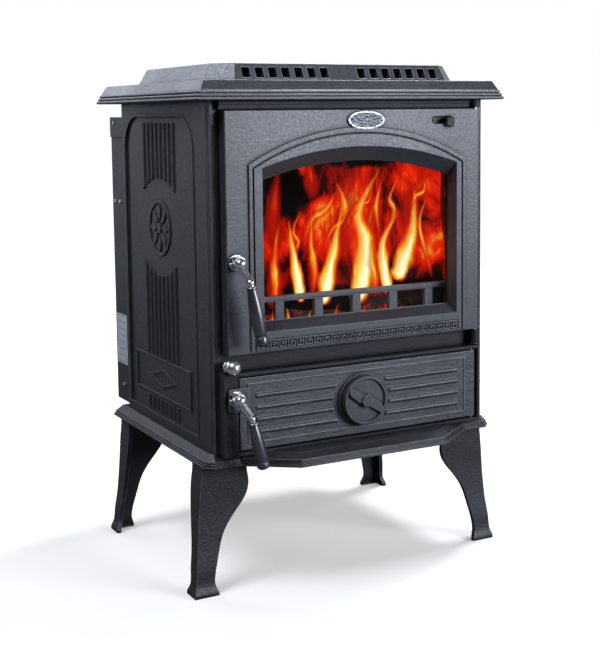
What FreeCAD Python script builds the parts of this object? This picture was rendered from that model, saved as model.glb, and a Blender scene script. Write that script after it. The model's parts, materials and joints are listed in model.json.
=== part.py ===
import FreeCAD, Part
import Sketcher
import math
import os

# Cast iron wood burning stove on four splayed legs.
# Millimetres. +X is to the right of a person facing the stove, the doors face -Y,
# +Z is up, and the feet stand on Z = 0.  Depths are laid out from the front edge
# of the top plate and moved by y_off, so that the stove is centred on Y = 0.

V = FreeCAD.Vector
doc = FreeCAD.newDocument("wood_stove")
sheet = doc.addObject("Spreadsheet::Sheet", "Dims")

ROWS = [
    ("y_off", 224.0, "front edge of the top plate to the origin"),
    ("top_wide", 560.0, "top plate over its beaded rim"),
    ("top_deep", 461.0, "top plate, front to back"),
    ("top_under", 775.0, "underside of the top plate"),
    ("top_upper", 806.0, "upper face of the top plate"),
    ("bead_high", 5.2, "height of one bead of the rims"),
    ("hood_upper", 833.4, "upper face of the hood"),
    ("hood_wide", 466.0, "hood at its foot"),
    ("hood_front", 51.0, "hood, behind the front edge of the top"),
    ("hood_deep", 358.0, "hood at its foot, front to back"),
    ("hood_cham", 37.0, "plan chamfer of the hood corners"),
    ("hood_lean", 14.6, "how far the hood sides lean in"),
    ("hood_wall", 11.0, "wall of the hood"),
    ("body_half", 251.0, "half width over the side panels"),
    ("body_front", 26.0, "front plane of the castings"),
    ("body_back", 412.0, "back plane of the body"),
    ("wall", 10.0, "side panel over its raised field"),
    ("base_half", 271.0, "half width of the base plate"),
    ("base_front", 17.0, "front edge of the base plate"),
    ("base_back", 441.0, "back edge of the base plate"),
    ("base_under", 208.0, "underside of the base plate"),
    ("base_upper", 229.0, "upper face of the base plate"),
    ("base_cham", 14.0, "corner chamfer of the base plate"),
    ("lip_front", 39.0, "hearth lip, ahead of the top's front edge"),
    ("lip_half", 134.0, "half width of the lip at its front"),
    ("lip_root", 211.0, "half width of the lip at its root"),
    ("leg_thick", 8.0, "wall of the leg castings"),
    ("leg_mid", 231.5, "middle between the front and the rear feet"),
    ("door_half", 236.5, "half width of the fire door"),
    ("door_low", 387.0, "lower edge of the fire door"),
    ("door_high", 759.5, "upper edge of the fire door"),
    ("door_face", 5.0, "front plane of the fire door"),
    ("door_plate", 10.0, "plate of the fire door"),
    ("door_deep", 18.0, "fire door with its skirt"),
    ("pin_x", 229.5, "fire door hinge axis"),
    ("pin_y", 14.5, "fire door hinge axis, depth"),
    ("pin_rad", 4.0, "fire door hinge pin"),
    ("pin_clear", 0.06, "radial clearance on the pins and spindles"),
    ("win_left", 175.5, "window opening, left of centre"),
    ("win_right", 185.0, "window opening, right of centre"),
    ("win_low", 418.5, "window opening, sill"),
    ("win_spring", 672.0, "window opening, springing of the arch"),
    ("win_arch", 560.0, "radius of the window arch"),
    ("frame_left", 198.0, "raised frame, left of centre"),
    ("frame_right", 203.0, "raised frame, right of centre"),
    ("frame_spring", 678.0, "raised frame, springing of its arch"),
    ("frame_arch", 400.0, "radius of the frame's arch"),
    ("frame_proud", 3.0, "raised frame over the door plate"),
    ("glass_thick", 4.0, "ceramic glass"),
    ("ash_left", 219.5, "ash door, left edge"),
    ("ash_right", 224.5, "ash door, right edge"),
    ("ash_low", 237.0, "ash door, lower edge"),
    ("ash_high", 350.0, "ash door, upper edge"),
    ("ash_face", 4.0, "front plane of the ash door"),
    ("ash_thick", 12.0, "ash door"),
    ("ash_pin_x", 219.5, "ash door hinge axis"),
    ("ash_pin_y", 10.0, "ash door hinge axis, depth"),
    ("ash_pin_rad", 3.0, "ash door hinge pin"),
    ("sur_face", 2.0, "front plane of the ash door surround"),
    ("wheel_x", -2.0, "spin wheel axis"),
    ("wheel_z", 293.0, "spin wheel axis"),
    ("wheel_rad", 39.5, "spin wheel"),
    ("spin_x", -223.0, "fire door spindle"),
    ("spin_z", 530.0, "fire door spindle"),
    ("ash_spin_x", -229.0, "ash door spindle"),
    ("ash_spin_z", 321.0, "ash door spindle"),
    ("spin_rad", 6.0, "spindles"),
    ("rod_x", -234.0, "riddling rod"),
    ("rod_z", 370.0, "riddling rod"),
    ("rod_rad", 4.0, "riddling rod"),
    ("ball_rad", 11.5, "balls of the riddling knob"),
    ("flue_z", 640.0, "flue outlet axis"),
    ("flue_bore", 76.0, "radius of the flue socket"),
    ("flue_reach", 496.4, "mouth of the flue socket"),
    ("grate_z", 350.0, "underside of the grate frame"),
    ("brick_low", 384.0, "underside of the fire bricks"),
    ("brick_high", 700.0, "upper edge of the side bricks"),
    ("key_pitch", 15.4, "pitch of the fret band"),
    ("bolt_rad", 4.0, "M8 bolts and tie rods"),
]


class Q:
    """A number together with the sheet expression that gives it."""

    def __init__(self, value, text):
        self.value = float(value)
        self.text = text

    def _two(self, other, sign, value):
        return Q(value, "(%s %s %s)" % (self.text, sign, q(other).text))

    def __add__(self, o):
        return self._two(o, "+", self.value + q(o).value)

    def __sub__(self, o):
        return self._two(o, "-", self.value - q(o).value)

    def __mul__(self, o):
        return self._two(o, "*", self.value * q(o).value)

    def __truediv__(self, o):
        return self._two(o, "/", self.value / q(o).value)

    def __radd__(self, o):
        return q(o) + self

    def __rsub__(self, o):
        return q(o) - self

    def __rmul__(self, o):
        return q(o) * self

    def __neg__(self):
        return Q(-self.value, "(0 - %s)" % self.text)


def q(x):
    if isinstance(x, Q):
        return x
    if x < 0:
        return Q(x, "(0 - %s)" % repr(round(-float(x), 6)))
    return Q(x, repr(round(float(x), 6)))


class P:
    pass


for row, (name, value, note) in enumerate(ROWS, 1):
    sheet.set("A%d" % row, name)
    sheet.set("B%d" % row, "%g" % value)
    sheet.setAlias("B%d" % row, name)
    sheet.set("C%d" % row, note)
    setattr(P, name, Q(value, "<<Dims>>." + name))
doc.recompute()

used = {}


def unique(name):
    used[name] = used.get(name, 0) + 1
    return name if used[name] == 1 else "%s_%d" % (name, used[name])


def bind(obj, prop, value):
    value = q(value)
    obj.setExpression(prop, value.text)


def depth(d):
    """Depth behind the front edge of the top plate, as a Y coordinate."""
    return q(d) - P.y_off


def box(name, x0, x1, y0, y1, z0, z1):
    o = doc.addObject("Part::Box", unique(name))
    for prop, a, b in (("Length", x0, x1), ("Width", y0, y1), ("Height", z0, z1)):
        bind(o, prop, q(b) - q(a))
    for axis, a in (("x", x0), ("y", y0), ("z", z0)):
        bind(o, "Placement.Base." + axis, a)
    return o


TURN = {"+z": (0, 0, 1), "-z": (0, 0, -1), "+y": (0, 1, 0), "-y": (0, -1, 0),
        "+x": (1, 0, 0), "-x": (-1, 0, 0)}


def place(o, x, y, z, way):
    way = TURN.get(way, way) if isinstance(way, str) else way
    o.Placement = FreeCAD.Placement(V(0, 0, 0), FreeCAD.Rotation(V(0, 0, 1), V(*way)))
    for axis, a in (("x", x), ("y", y), ("z", z)):
        bind(o, "Placement.Base." + axis, a)
    return o


def cyl(name, rad, high, x, y, z, way="+z"):
    o = doc.addObject("Part::Cylinder", unique(name))
    bind(o, "Radius", rad)
    bind(o, "Height", high)
    return place(o, x, y, z, way)


def cone(name, r1, r2, high, x, y, z, way="+z"):
    o = doc.addObject("Part::Cone", unique(name))
    bind(o, "Radius1", r1)
    bind(o, "Radius2", r2)
    bind(o, "Height", high)
    return place(o, x, y, z, way)


def ball(name, rad, x, y, z):
    o = doc.addObject("Part::Sphere", unique(name))
    bind(o, "Radius", rad)
    return place(o, x, y, z, "+z")


def ring(name, r1, r2, x, y, z, way="+z"):
    o = doc.addObject("Part::Torus", unique(name))
    bind(o, "Radius1", r1)
    bind(o, "Radius2", r2)
    return place(o, x, y, z, way)


def fuse(name, objs):
    if len(objs) == 1:
        return objs[0]
    o = doc.addObject("Part::MultiFuse", unique(name))
    o.Shapes = objs
    return o


def cut(name, base, tools):
    o = doc.addObject("Part::Cut", unique(name))
    o.Base = base
    o.Tool = tools[0] if len(tools) == 1 else fuse(name + "_tools", tools)
    return o


def common(name, a, b):
    o = doc.addObject("Part::MultiCommon", unique(name))
    o.Shapes = [a, b]
    return o


def mirror(name, base, normal, at=(0, 0, 0)):
    o = doc.addObject("Part::Mirroring", unique(name))
    o.Source = base
    o.Normal = V(*normal)
    o.Base = V(*at)
    return o


def draw(sk, loop):
    """Draws a closed loop whose corners are driven by the sheet.
    A corner is (a, b) or (a, b, r): r bends the side that leaves it, to the left
    of travel when r is negative and to the right when it is positive."""
    refs = []
    n = len(loop)
    for i in range(n):
        a, b = loop[i], loop[(i + 1) % n]
        ax, ay, bx, by = q(a[0]).value, q(a[1]).value, q(b[0]).value, q(b[1]).value
        if len(a) == 2:
            g = sk.addGeometry(Part.LineSegment(V(ax, ay, 0), V(bx, by, 0)), False)
            refs.append((g, 1, 2))
            continue
        r = q(a[2]).value
        dx, dy = bx - ax, by - ay
        half = math.hypot(dx, dy) / 2
        off = math.sqrt(max(r * r - half * half, 0.0))
        ux, uy = -dy / (2 * half), dx / (2 * half)
        side = 1 if r > 0 else -1
        cx, cy = (ax + bx) / 2 + side * ux * off, (ay + by) / 2 + side * uy * off
        a0, a1 = math.atan2(ay - cy, ax - cx), math.atan2(by - cy, bx - cx)
        circle = Part.Circle(V(cx, cy, 0), V(0, 0, 1), abs(r))
        if side > 0:
            g = sk.addGeometry(Part.ArcOfCircle(circle, a0, a1), False)
            refs.append((g, 1, 2))
        else:
            g = sk.addGeometry(Part.ArcOfCircle(circle, a1, a0), False)
            refs.append((g, 2, 1))
    for i in range(n):
        sk.addConstraint(Sketcher.Constraint("Coincident", refs[i][0], refs[i][2],
                                             refs[(i + 1) % n][0], refs[(i + 1) % n][1]))
    for i in range(n):
        for kind, val in (("DistanceX", loop[i][0]), ("DistanceY", loop[i][1])):
            c = sk.addConstraint(Sketcher.Constraint(kind, -1, 1, refs[i][0], refs[i][1], q(val).value))
            sk.setExpression("Constraints[%d]" % c, q(val).text)
        if len(loop[i]) == 3:
            r = q(loop[i][2])
            c = sk.addConstraint(Sketcher.Constraint("Radius", refs[i][0], abs(r.value)))
            sk.setExpression("Constraints[%d]" % c, r.text if r.value > 0 else (-r).text)


def prism(name, plane, loops, t0, t1):
    """PartDesign pad of a sheet-driven sketch between t0 and t1 along the plane's axis."""
    body = doc.addObject("PartDesign::Body", unique(name))
    role = {"XY": "XY_Plane", "XZ": "XZ_Plane", "YZ": "YZ_Plane"}[plane]
    base = [f for f in body.Origin.OriginFeatures if f.Role == role][0]
    sk = body.newObject("Sketcher::SketchObject", unique(name + "_sketch"))
    sk.AttachmentSupport = [(base, "")]
    sk.MapMode = "FlatFace"
    bind(sk, "AttachmentOffset.Base.z", -q(t1) if plane == "XZ" else q(t0))
    for loop in loops:
        draw(sk, loop)
    pad = body.newObject("PartDesign::Pad", unique(name + "_pad"))
    pad.Profile = sk
    bind(pad, "Length", q(t1) - q(t0))
    return body


def flat_sketch(name, loop, x, y, z, rot):
    sk = doc.addObject("Sketcher::SketchObject", unique(name))
    sk.Placement = FreeCAD.Placement(V(0, 0, 0), rot)
    for axis, a in (("x", x), ("y", y), ("z", z)):
        bind(sk, "Placement.Base." + axis, a)
    draw(sk, loop)
    return sk


def loft(name, sections, ruled=True):
    o = doc.addObject("Part::Loft", unique(name))
    o.Sections = sections
    o.Solid = True
    o.Ruled = ruled
    return o


def turned(name, profile, x, y, z, way):
    """PartDesign revolution of a profile (radius, height) about its own Z axis."""
    body = doc.addObject("PartDesign::Body", unique(name))
    base = [f for f in body.Origin.OriginFeatures if f.Role == "XZ_Plane"][0]
    sk = body.newObject("Sketcher::SketchObject", unique(name + "_sketch"))
    sk.AttachmentSupport = [(base, "")]
    sk.MapMode = "FlatFace"
    draw(sk, profile)
    rev = body.newObject("PartDesign::Revolution", unique(name + "_turn"))
    rev.Profile = sk
    rev.ReferenceAxis = (sk, ["V_Axis"])
    rev.Angle = 360.0
    return place(body, x, y, z, way)


def rounded(name, base, rad, pick):
    doc.recompute()
    o = doc.addObject("Part::Fillet", unique(name))
    o.Base = base
    r = q(rad).value
    o.Edges = [(i, r, r) for i, e in enumerate(base.Shape.Edges, 1) if pick(e)]
    return o


def feature(name, shape):
    o = doc.addObject("Part::Feature", unique(name))
    o.Shape = shape
    return o


def level(e, axis, at, tol=0.01):
    bb = e.BoundBox
    lo, hi = {"x": (bb.XMin, bb.XMax), "y": (bb.YMin, bb.YMax), "z": (bb.ZMin, bb.ZMax)}[axis]
    return abs(lo - at) < tol and abs(hi - at) < tol


final = {}


def keep(label, obj):
    obj.Label = label
    final[label] = obj
    return obj


def screws(name, places, way, head, high, rad, long_):
    """Pan head screws: head outside, shank pointing along way."""
    out = []
    w = TURN[way]
    for i, (x, y, z) in enumerate(places):
        a = cyl(name + "_head", head, high, q(x) - w[0] * high, q(y) - w[1] * high, q(z) - w[2] * high, way)
        slot = [box(name + "_nick", q(x) - (head if w[0] == 0 else high) , q(x) + (head if w[0] == 0 else 0.0),
                    q(y) - (head if w[1] == 0 and w[0] != 0 else (0.6 if w[1] == 0 else high)),
                    q(y) + (head if w[1] == 0 and w[0] != 0 else (0.6 if w[1] == 0 else 0.0)),
                    q(z) - (0.6 if w[2] == 0 else high), q(z) + (0.6 if w[2] == 0 else 0.0))]
        # the driver slot is sunk into the outer third of the head
        s = slot[0]
        if w[0]:
            bind(s, "Length", high * 0.4)
            bind(s, "Placement.Base.x", q(x) - w[0] * high if w[0] > 0 else q(x) + high * 0.6)
        if w[1]:
            bind(s, "Width", high * 0.4)
            bind(s, "Placement.Base.y", q(y) - w[1] * high if w[1] > 0 else q(y) + high * 0.6)
        if w[2]:
            bind(s, "Height", high * 0.4)
            bind(s, "Placement.Base.z", q(z) - w[2] * high if w[2] > 0 else q(z) + high * 0.6)
        h = cut(name + "_slotted", a, [s])
        b = cyl(name + "_shank", rad, long_, x, y, z, way)
        out.append(fuse(name + "_screw", [h, b]))
    return fuse(name, out)


# ---------------------------------------------------------------- rims
def base_loop(i):
    c = P.base_cham + 0.4142 * i
    hx, yf, yb, yl = P.base_half - i, depth(P.base_front) + i, depth(P.base_back) - i, depth(0) - P.lip_front + i
    left = [(-hx, yb), (-hx, depth(P.base_front) + c), (-P.base_half + c, yf),
            (-P.lip_root + 0.32 * i, yf), (-P.lip_half + 0.32 * i, yl)]
    right = [(P.lip_half - 0.32 * i, yl), (P.lip_root - 0.32 * i, yf), (P.base_half - c, yf),
             (hx, depth(P.base_front) + c), (hx, yb)]
    return left + right


def top_loop(i):
    return [(-P.top_wide / 2 + i, depth(P.top_deep) - i), (-P.top_wide / 2 + i, depth(0) + i),
            (P.top_wide / 2 - i, depth(0) + i), (P.top_wide / 2 - i, depth(P.top_deep) - i)]


def rim(name, loop, z0, z1, beads, bead, step, lean):
    """A rim of half-round beads under a band that slopes in."""
    parts = []
    z = q(z0)
    for k in range(beads):
        slab = prism(name + "_bead", "XY", [loop(k * step)], z, z + bead)
        zl, zh = z.value, z.value + q(bead).value
        parts.append(rounded(name + "_round", slab, q(bead).value * 0.47,
                             lambda e, zl=zl, zh=zh: level(e, "z", zl) or level(e, "z", zh)))
        z = z + bead
    rot = FreeCAD.Rotation()
    low = flat_sketch(name + "_low", loop(beads * step), 0, 0, z, rot)
    high = flat_sketch(name + "_high", loop(beads * step + lean), 0, 0, z1, rot)
    parts.append(loft(name + "_band", [low, high]))
    return parts


base = rim("base_rim", base_loop, P.base_under, P.base_upper, 3, Q(3.7, "3.7"), 1.6, 9.0)
# plain face along the hearth lip, over the beads
def lip_loop(i):
    loop = base_loop(i)
    return [(-P.lip_root + 0.32 * i, depth(P.base_front) + 14), *loop[3:7], (P.lip_root - 0.32 * i, depth(P.base_front) + 14)]


flat = FreeCAD.Rotation()
step_z = P.base_under + 12.5
lip = [loft("lip_low", [flat_sketch("lip_a", lip_loop(0.0), 0, 0, P.base_under, flat), flat_sketch("lip_b", lip_loop(1.6), 0, 0, step_z, flat)]),
       loft("lip_high", [flat_sketch("lip_c", lip_loop(1.6), 0, 0, step_z, flat), flat_sketch("lip_d", lip_loop(13.8), 0, 0, P.base_upper, flat)])]
base = fuse("base_solid", base + lip)
hollow = [box("base_hollow", -150, 150, depth(P.base_front) + 14, depth(P.base_back) - 14, 200, P.base_upper - 10),
          box("base_hollow", -P.base_half + 14, P.base_half - 14, -125, 130, 200, P.base_upper - 10)]
LEG_BOLTS = [(sx * (P.base_half - 67), sy) for sx in (-1, 1) for sy in (depth(75), depth(P.leg_mid * 2 - 75))]
holes = [cyl("base_bolt_hole", P.bolt_rad + 0.5, 40, x, y, 200) for x, y in LEG_BOLTS]
RODS = [(sx * 222, depth(61)) for sx in (-1, 1)] + [(sx * 226, depth(386)) for sx in (-1, 1)]
holes += [cyl("base_rod_hole", P.bolt_rad, 40, x, y, P.base_upper - 12) for x, y in RODS]
keep("base_plate", cut("base_plate", base, hollow + holes))

# ---------------------------------------------------------------- legs
# outline stations: height, outer corner x, depth of the front face, inner end of
# the front plate, width of the side plate
STATIONS = [(0.0, 286.5, 35.5, 246.0, 33.0), (9.0, 285.6, 36.4, 247.0, 31.0), (15.0, 283.4, 38.4, 249.5, 26.5),
            (35.0, 281.0, 40.5, 249.0, 25.5), (65.0, 277.3, 44.0, 241.5, 26.5), (98.0, 274.3, 46.8, 230.5, 30.0),
            (126.0, 272.2, 48.0, 211.0, 34.0), (153.0, 270.3, 48.0, 190.5, 38.0), (180.0, 268.0, 47.4, 186.5, 40.0),
            (208.0, 266.0, 46.5, 185.0, 41.0)]
cuts = []
for k, (z, xo, d, xi, ws) in enumerate(STATIONS):
    yo = depth(d)
    t = P.leg_thick
    loop = [(-xo, yo), (-xi, yo), (-xi, yo + t), (-xo + t, yo + t), (-xo + t, yo + ws), (-xo, yo + ws)]
    cuts.append(flat_sketch("leg_station", loop, 0, 0, z, FreeCAD.Rotation()))
leg_shell = loft("leg_shell", cuts, False)
pad = prism("leg_flange", "XY", [[(-258, depth(54)), (-190, depth(54)), (-190, depth(84)), (-216, depth(92)), (-258, depth(86))]], 199, 208)
leg_bore = cyl("leg_bore", P.bolt_rad + 0.5, 30, LEG_BOLTS[0][0], LEG_BOLTS[0][1], 190)
legs = cut("leg_front_left", fuse("leg_casting", [leg_shell, pad]), [leg_bore])
keep("leg_front_left", legs)
ym = (P.leg_mid - P.y_off).value
keep("leg_front_right", mirror("leg_front_right", legs, (1, 0, 0)))
rear = mirror("leg_rear_left", legs, (0, 1, 0), (0, ym, 0))
keep("leg_rear_left", rear)
keep("leg_rear_right", mirror("leg_rear_right", rear, (1, 0, 0)))
bolts = []
for x, y in LEG_BOLTS:
    bolts += [cyl("leg_bolt", P.bolt_rad, 42, x, y, 193), cyl("leg_bolt_head", 6.5, 5.5, x, y, 193.5),
              cyl("leg_bolt_nut", 6.5, 6, x, y, P.base_upper)]
keep("leg_bolts", fuse("leg_bolts", bolts))

# ---------------------------------------------------------------- side panels
# the left one is modelled and mirrored
bh = P.body_half
yf, yb = depth(P.body_front), depth(P.body_back)
slab = box("side_slab", -bh + 3, -bh + P.wall, yf, yb, P.base_upper, P.top_under)
r0, r1, zs, zt, cr = depth(94), depth(396), 696.0, 752.0, 56.0
arch = [(r0, 244.0), (r1, 244.0), (r1, zs, cr), (r1 - cr, zt), (r0 + cr, zt, cr), (r0, zs)]
field = prism("side_field", "YZ", [[(yf, P.base_upper), (yb, P.base_upper), (yb, P.top_under), (yf, P.top_under)], arch],
              -bh, -bh + 3)
e_ = 3.2
edge_loop = [(r0 - e_, 244.0 - e_), (r1 + e_, 244.0 - e_), (r1 + e_, zs, cr + e_), (r1 - cr, zt + e_), (r0 + cr, zt + e_, cr + e_), (r0 - e_, zs)]
parts = [slab, field, prism("side_bead", "YZ", [edge_loop, arch], -bh - 1.4, -bh)]
# fluted ribs of half-round section
mid = (r0 + r1) / 2
n, pitch, rw = 8, 18.6, 7.0
xs = -bh + 3


def rib(name, y, z0, z1, w=rw, rad=9.5):
    return prism(name, "XY", [[(xs, y + w), (xs, y - w, -rad)]], z0, z1)


ups, lows, feet = [], [], []
for k in range(n):
    y = mid + (k - (n - 1) / 2.0) * pitch
    ups.append(rib("rib_upper", y, 600, 741))
    lows.append(rib("rib_lower", y, 346, 540))
    feet.append(rib("rib_foot", y, 250, 272))
parts += [cut("ribs_upper", fuse("ribs_upper_set", ups), [cyl("upper_sweep", 125, 20, -bh - 5, mid, 525, "+x")]),
          cut("ribs_lower", fuse("ribs_lower_set", lows), [cyl("lower_sweep", 125, 20, -bh - 5, mid, 611, "+x")]),
          fuse("ribs_foot", feet)]
# plain rosette: a ring, eight leaves and a button
zc = 566.0
ringp = cut("rosette_ring", cyl("rosette_outer", 47, 2.6, -bh + 0.6, mid, zc, "+x"),
            [cyl("rosette_inner", 42.5, 6, -bh - 1, mid, zc, "+x")])
leaves = []
for k in range(8):
    leaf = doc.addObject("PartDesign::Body", unique("rosette_leaf"))
    plane = [f for f in leaf.Origin.OriginFeatures if f.Role == "YZ_Plane"][0]
    sk = leaf.newObject("Sketcher::SketchObject", unique("rosette_leaf_sketch"))
    sk.AttachmentSupport = [(plane, "")]
    sk.MapMode = "FlatFace"
    draw(sk, [(q(0.0), q(12.0), q(20.0)), (q(0.0), q(39.5), q(20.0))])
    lp = leaf.newObject("PartDesign::Pad", unique("rosette_leaf_pad"))
    lp.Profile = sk
    lp.Length = 2.9
    leaf.Placement = FreeCAD.Placement(V(0, 0, 0), FreeCAD.Rotation(V(1, 0, 0), 45.0 * k))
    for axis, a in (("x", -bh + 0.3), ("y", mid), ("z", q(zc))):
        bind(leaf, "Placement.Base." + axis, a)
    leaves.append(leaf)
button = cyl("rosette_button", 8, 3.1, -bh + 0.1, mid, zc, "+x")
parts += [ringp, button] + leaves
# plain tablet between the lower ribs and the sill, with a lozenge
t0, t1 = depth(124), depth(368)
parts += [box("tablet_low", xs - 2.2, xs, t0, t1, 276, 279.5), box("tablet_high", xs - 2.2, xs, t0, t1, 339, 342.5),
          box("tablet_end", xs - 2.2, xs, t0, t0 + 3.5, 276, 342.5), box("tablet_end", xs - 2.2, xs, t1 - 3.5, t1, 276, 342.5),
          prism("tablet_lozenge", "YZ", [[(mid - 62, 309), (mid, 292), (mid + 62, 309), (mid, 326)],
                                         [(mid - 44, 309), (mid, 297), (mid + 44, 309), (mid, 321)]], xs - 2.4, xs)]
# ledges inside for the grate frame and for the side brick
parts += [box("grate_ledge", -bh + P.wall, -222, depth(74), depth(374), P.grate_z - 8, P.grate_z),
          box("brick_ledge", -bh + P.wall, -214, depth(74), depth(372), P.brick_low - 6, P.brick_low)]
side = fuse("side_casting", parts)
grooves = [box("side_flute", -bh - 1, -bh + 1.2, yf + a, yf + a + 2.2, 236, 768) for a in (7.0, 13.0)]
grooves += [box("front_flute", -bh + a, -bh + a + 1.4, yf - 1, yf + 1.6, 236, 738) for a in (2.2, 5.2)]
left = cut("side_panel_left", side, grooves)
keep("side_panel_left", left)
keep("side_panel_right", mirror("side_panel_right", left, (1, 0, 0)))

# ---------------------------------------------------------------- back panel and flue
ins = bh - P.wall
bt = 12
back = box("back_slab", -ins, ins, yb - bt, yb, P.base_upper, P.top_under)
FB = [(sx * 62, sz * 62) for sx in (-1, 1) for sz in (-1, 1)]
tools = [cyl("flue_hole", P.flue_bore - 5, 40, 0, yb - 20, P.flue_z, "+y")]
tools += [cyl("flue_bolt_hole", 3.0, 40, x, yb - 20, P.flue_z + z, "+y") for x, z in FB]
keep("back_panel", cut("back_panel", back, tools))
mouth = depth(P.flue_reach)
collar = [cyl("collar_flange", P.flue_bore + 22, 8, 0, yb, P.flue_z, "+y"),
          cyl("collar_tube", P.flue_bore + 6, mouth - yb, 0, yb, P.flue_z, "+y")]
tools = [cyl("collar_bore", P.flue_bore, mouth - yb, 0, yb + 8, P.flue_z, "+y"),
         cyl("collar_way", P.flue_bore - 5, 60, 0, yb - 20, P.flue_z, "+y")]
tools += [cyl("collar_bolt_hole", 3.0, 40, x, yb - 20, P.flue_z + z, "+y") for x, z in FB]
keep("flue_collar", cut("flue_collar", fuse("collar_body", collar), tools))
keep("flue_collar_bolts", fuse("flue_collar_bolts",
     [cyl("flue_bolt", 3.0, 28, x, yb - 18, P.flue_z + z, "+y") for x, z in FB]
     + [cyl("flue_bolt_head", 5.0, 4, x, yb + 8, P.flue_z + z, "+y") for x, z in FB]
     + [cyl("flue_bolt_nut", 5.2, 4, x, yb - bt - 4, P.flue_z + z, "+y") for x, z in FB]))

# rear heat shield of folded sheet, stood off the back
sh, sb0, sb1 = 246.0, P.base_upper + 2.0, 734.0
ys = depth(484)
shield = cut("shield_box", box("shield_outer", -sh, sh, yb, ys, sb0, sb1),
             [box("shield_inner", -sh + 1.5, sh - 1.5, yb - 5, ys - 1.5, sb0 + 1.5, sb1 - 1.5),
              cyl("shield_hole", P.flue_bore + 12, 100, 0, yb, P.flue_z, "+y"),
              cyl("shield_flange_gap", P.flue_bore + 23, 10, 0, yb - 1, P.flue_z, "+y")]
             + [cyl("shield_screw_hole", 1.7, 12, sx * sh - 6, yb + dy, z, "+x") for sx in (-1, 1) for dy, z in ((56, 600), (32, 600), (36, 262))]
             + [box("shield_louvre", x, x + 60, ys - 5, ys + 5, z, z + 6) for x in (-190, -95, 35, 130) for z in (300, 316, 332, 348)])
keep("rear_heat_shield", shield)
tabs = []
for sx in (-1, 1):
    a, b = sorted((sx * sh, sx * (sh + 2)))
    tabs += [cut("shield_tab", box("shield_tab_plate", a, b, yb + 0.5, ys, 716, 752), [cyl("shield_tab_hole", 1.7, 12, sx * sh - 6, yb + 50, 742, "+x")])]
keep("shield_brackets", fuse("shield_brackets", tabs))
keep("shield_screws", fuse("shield_screws", [
    screws("shield_screw_l", [(-sh - 2, yb + 50, 742), (-sh, yb + 56, 600), (-sh, yb + 32, 600), (-sh, yb + 36, 262)], "+x", 3.4, 1.8, 1.6, 4),
    screws("shield_screw_r", [(sh + 2, yb + 50, 742), (sh, yb + 56, 600), (sh, yb + 32, 600), (sh, yb + 36, 262)], "-x", 3.4, 1.8, 1.6, 4)]))
keep("rating_plate", box("rating_plate", -sh - 0.6, -sh, yb + 14, ys - 6, 300, 392))

# ---------------------------------------------------------------- front frame
fp = yf + 12
fb = 240.5
plate = box("front_slab", -fb, fb, yf, fp, P.base_upper, P.top_under)
sf = depth(P.sur_face)
surround = box("ash_surround", -246, 232, sf, yf, P.base_upper, 358)
fascia = box("fascia", -241, 239, yf - 11, yf, P.door_high + 2, P.top_under)
fascia_fillet = box("fascia_bead", -241, 239, yf - 12.6, yf - 11, P.top_under - 6, P.top_under)
px, py = P.pin_x, depth(P.pin_y)
lugs = []
for z0, z1 in ((P.door_high + 2, P.top_under), (q(362), P.door_low - 2.5)):
    lugs += [cyl("hinge_lug", 9.2, z1 - z0, px, py, z0), box("hinge_lug_root", px - 9.2, px + 9.2, py, yf, z0, z1)]
frame = fuse("front_casting", [plate, surround, fascia, fascia_fillet] + lugs)
fire_open = prism("fire_opening", "XZ", [[(-196, 408), (206, 408), (206, 676, 640), (-196, 676)]], yf - 2, fp + 2)
ash_open = box("ash_opening", -195, 205, yf - 2, fp + 2, 240, 340)
ash_seat = box("ash_seat", -222.5, 228, sf - 1, yf, 233.5, 353.5)
ap, aq = P.ash_pin_x, depth(P.ash_pin_y)
tools = [fire_open, ash_open, ash_seat,
         box("fire_keeper", P.spin_x - 10.5, P.spin_x + 10.5, yf - 2, fp + 2, P.spin_z - 28, P.spin_z + 11),
         box("ash_keeper", P.ash_spin_x - 10.5, P.ash_spin_x + 10.5, sf - 2, fp + 2, P.ash_spin_z - 19, P.ash_spin_z + 11),
         cyl("rod_hole", P.rod_rad + P.pin_clear, 60, P.rod_x, yf - 20, P.rod_z, "+y"),
         cyl("pin_hole_top", P.pin_rad, 30, px, py, P.door_high - 4), cyl("pin_hole_low", P.pin_rad, 30, px, py, 360),
         cyl("ash_pin_hole_top", P.ash_pin_rad, 20, ap, aq, 345), cyl("ash_pin_hole_low", P.ash_pin_rad, 20, ap, aq, 220)]
keep("front_frame", cut("front_frame", frame, tools))
keep("fire_door_pins", fuse("fire_door_pins", [
    cyl("fire_pin_top", P.pin_rad, P.top_under - 1 - (P.door_high - 15), px, py, P.door_high - 15),
    cyl("fire_pin_low", P.pin_rad, P.door_low + 15 - 363, px, py, 363)]))
keep("ash_door_pins", fuse("ash_door_pins", [
    cyl("ash_pin_top", P.ash_pin_rad, 357.5 - (P.ash_high - 13), ap, aq, P.ash_high - 13),
    cyl("ash_pin_low", P.ash_pin_rad, P.ash_low + 13 - 229.5, ap, aq, 229.5)]))

# ---------------------------------------------------------------- top plate and hood
top = fuse("top_solid", rim("top_rim", top_loop, P.top_under, P.top_upper, 3, P.bead_high, 2.2, 8.0))
tools = [box("top_hollow", -225, 225, depth(50), depth(400), P.top_under - 5, P.top_upper - 10),
         cyl("top_flue_way", 72, 60, 0, depth(232), P.top_under - 10)]
tools += [cyl("top_rod_hole", P.bolt_rad, 30, x, y, P.top_upper - 34) for x, y in RODS]
keep("top_plate", cut("top_plate", top, tools))
hf, hd = depth(P.hood_front), P.hood_deep


def hood_loop(i):
    w, c, y0, y1 = P.hood_wide / 2 - i, P.hood_cham - 0.5858 * i, hf + i, hf + hd - i
    return [(-w, y1 - c), (-w, y0 + c), (-w + c, y0), (w - c, y0), (w, y0 + c), (w, y1 - c), (w - c, y1), (-w + c, y1)]


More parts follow.
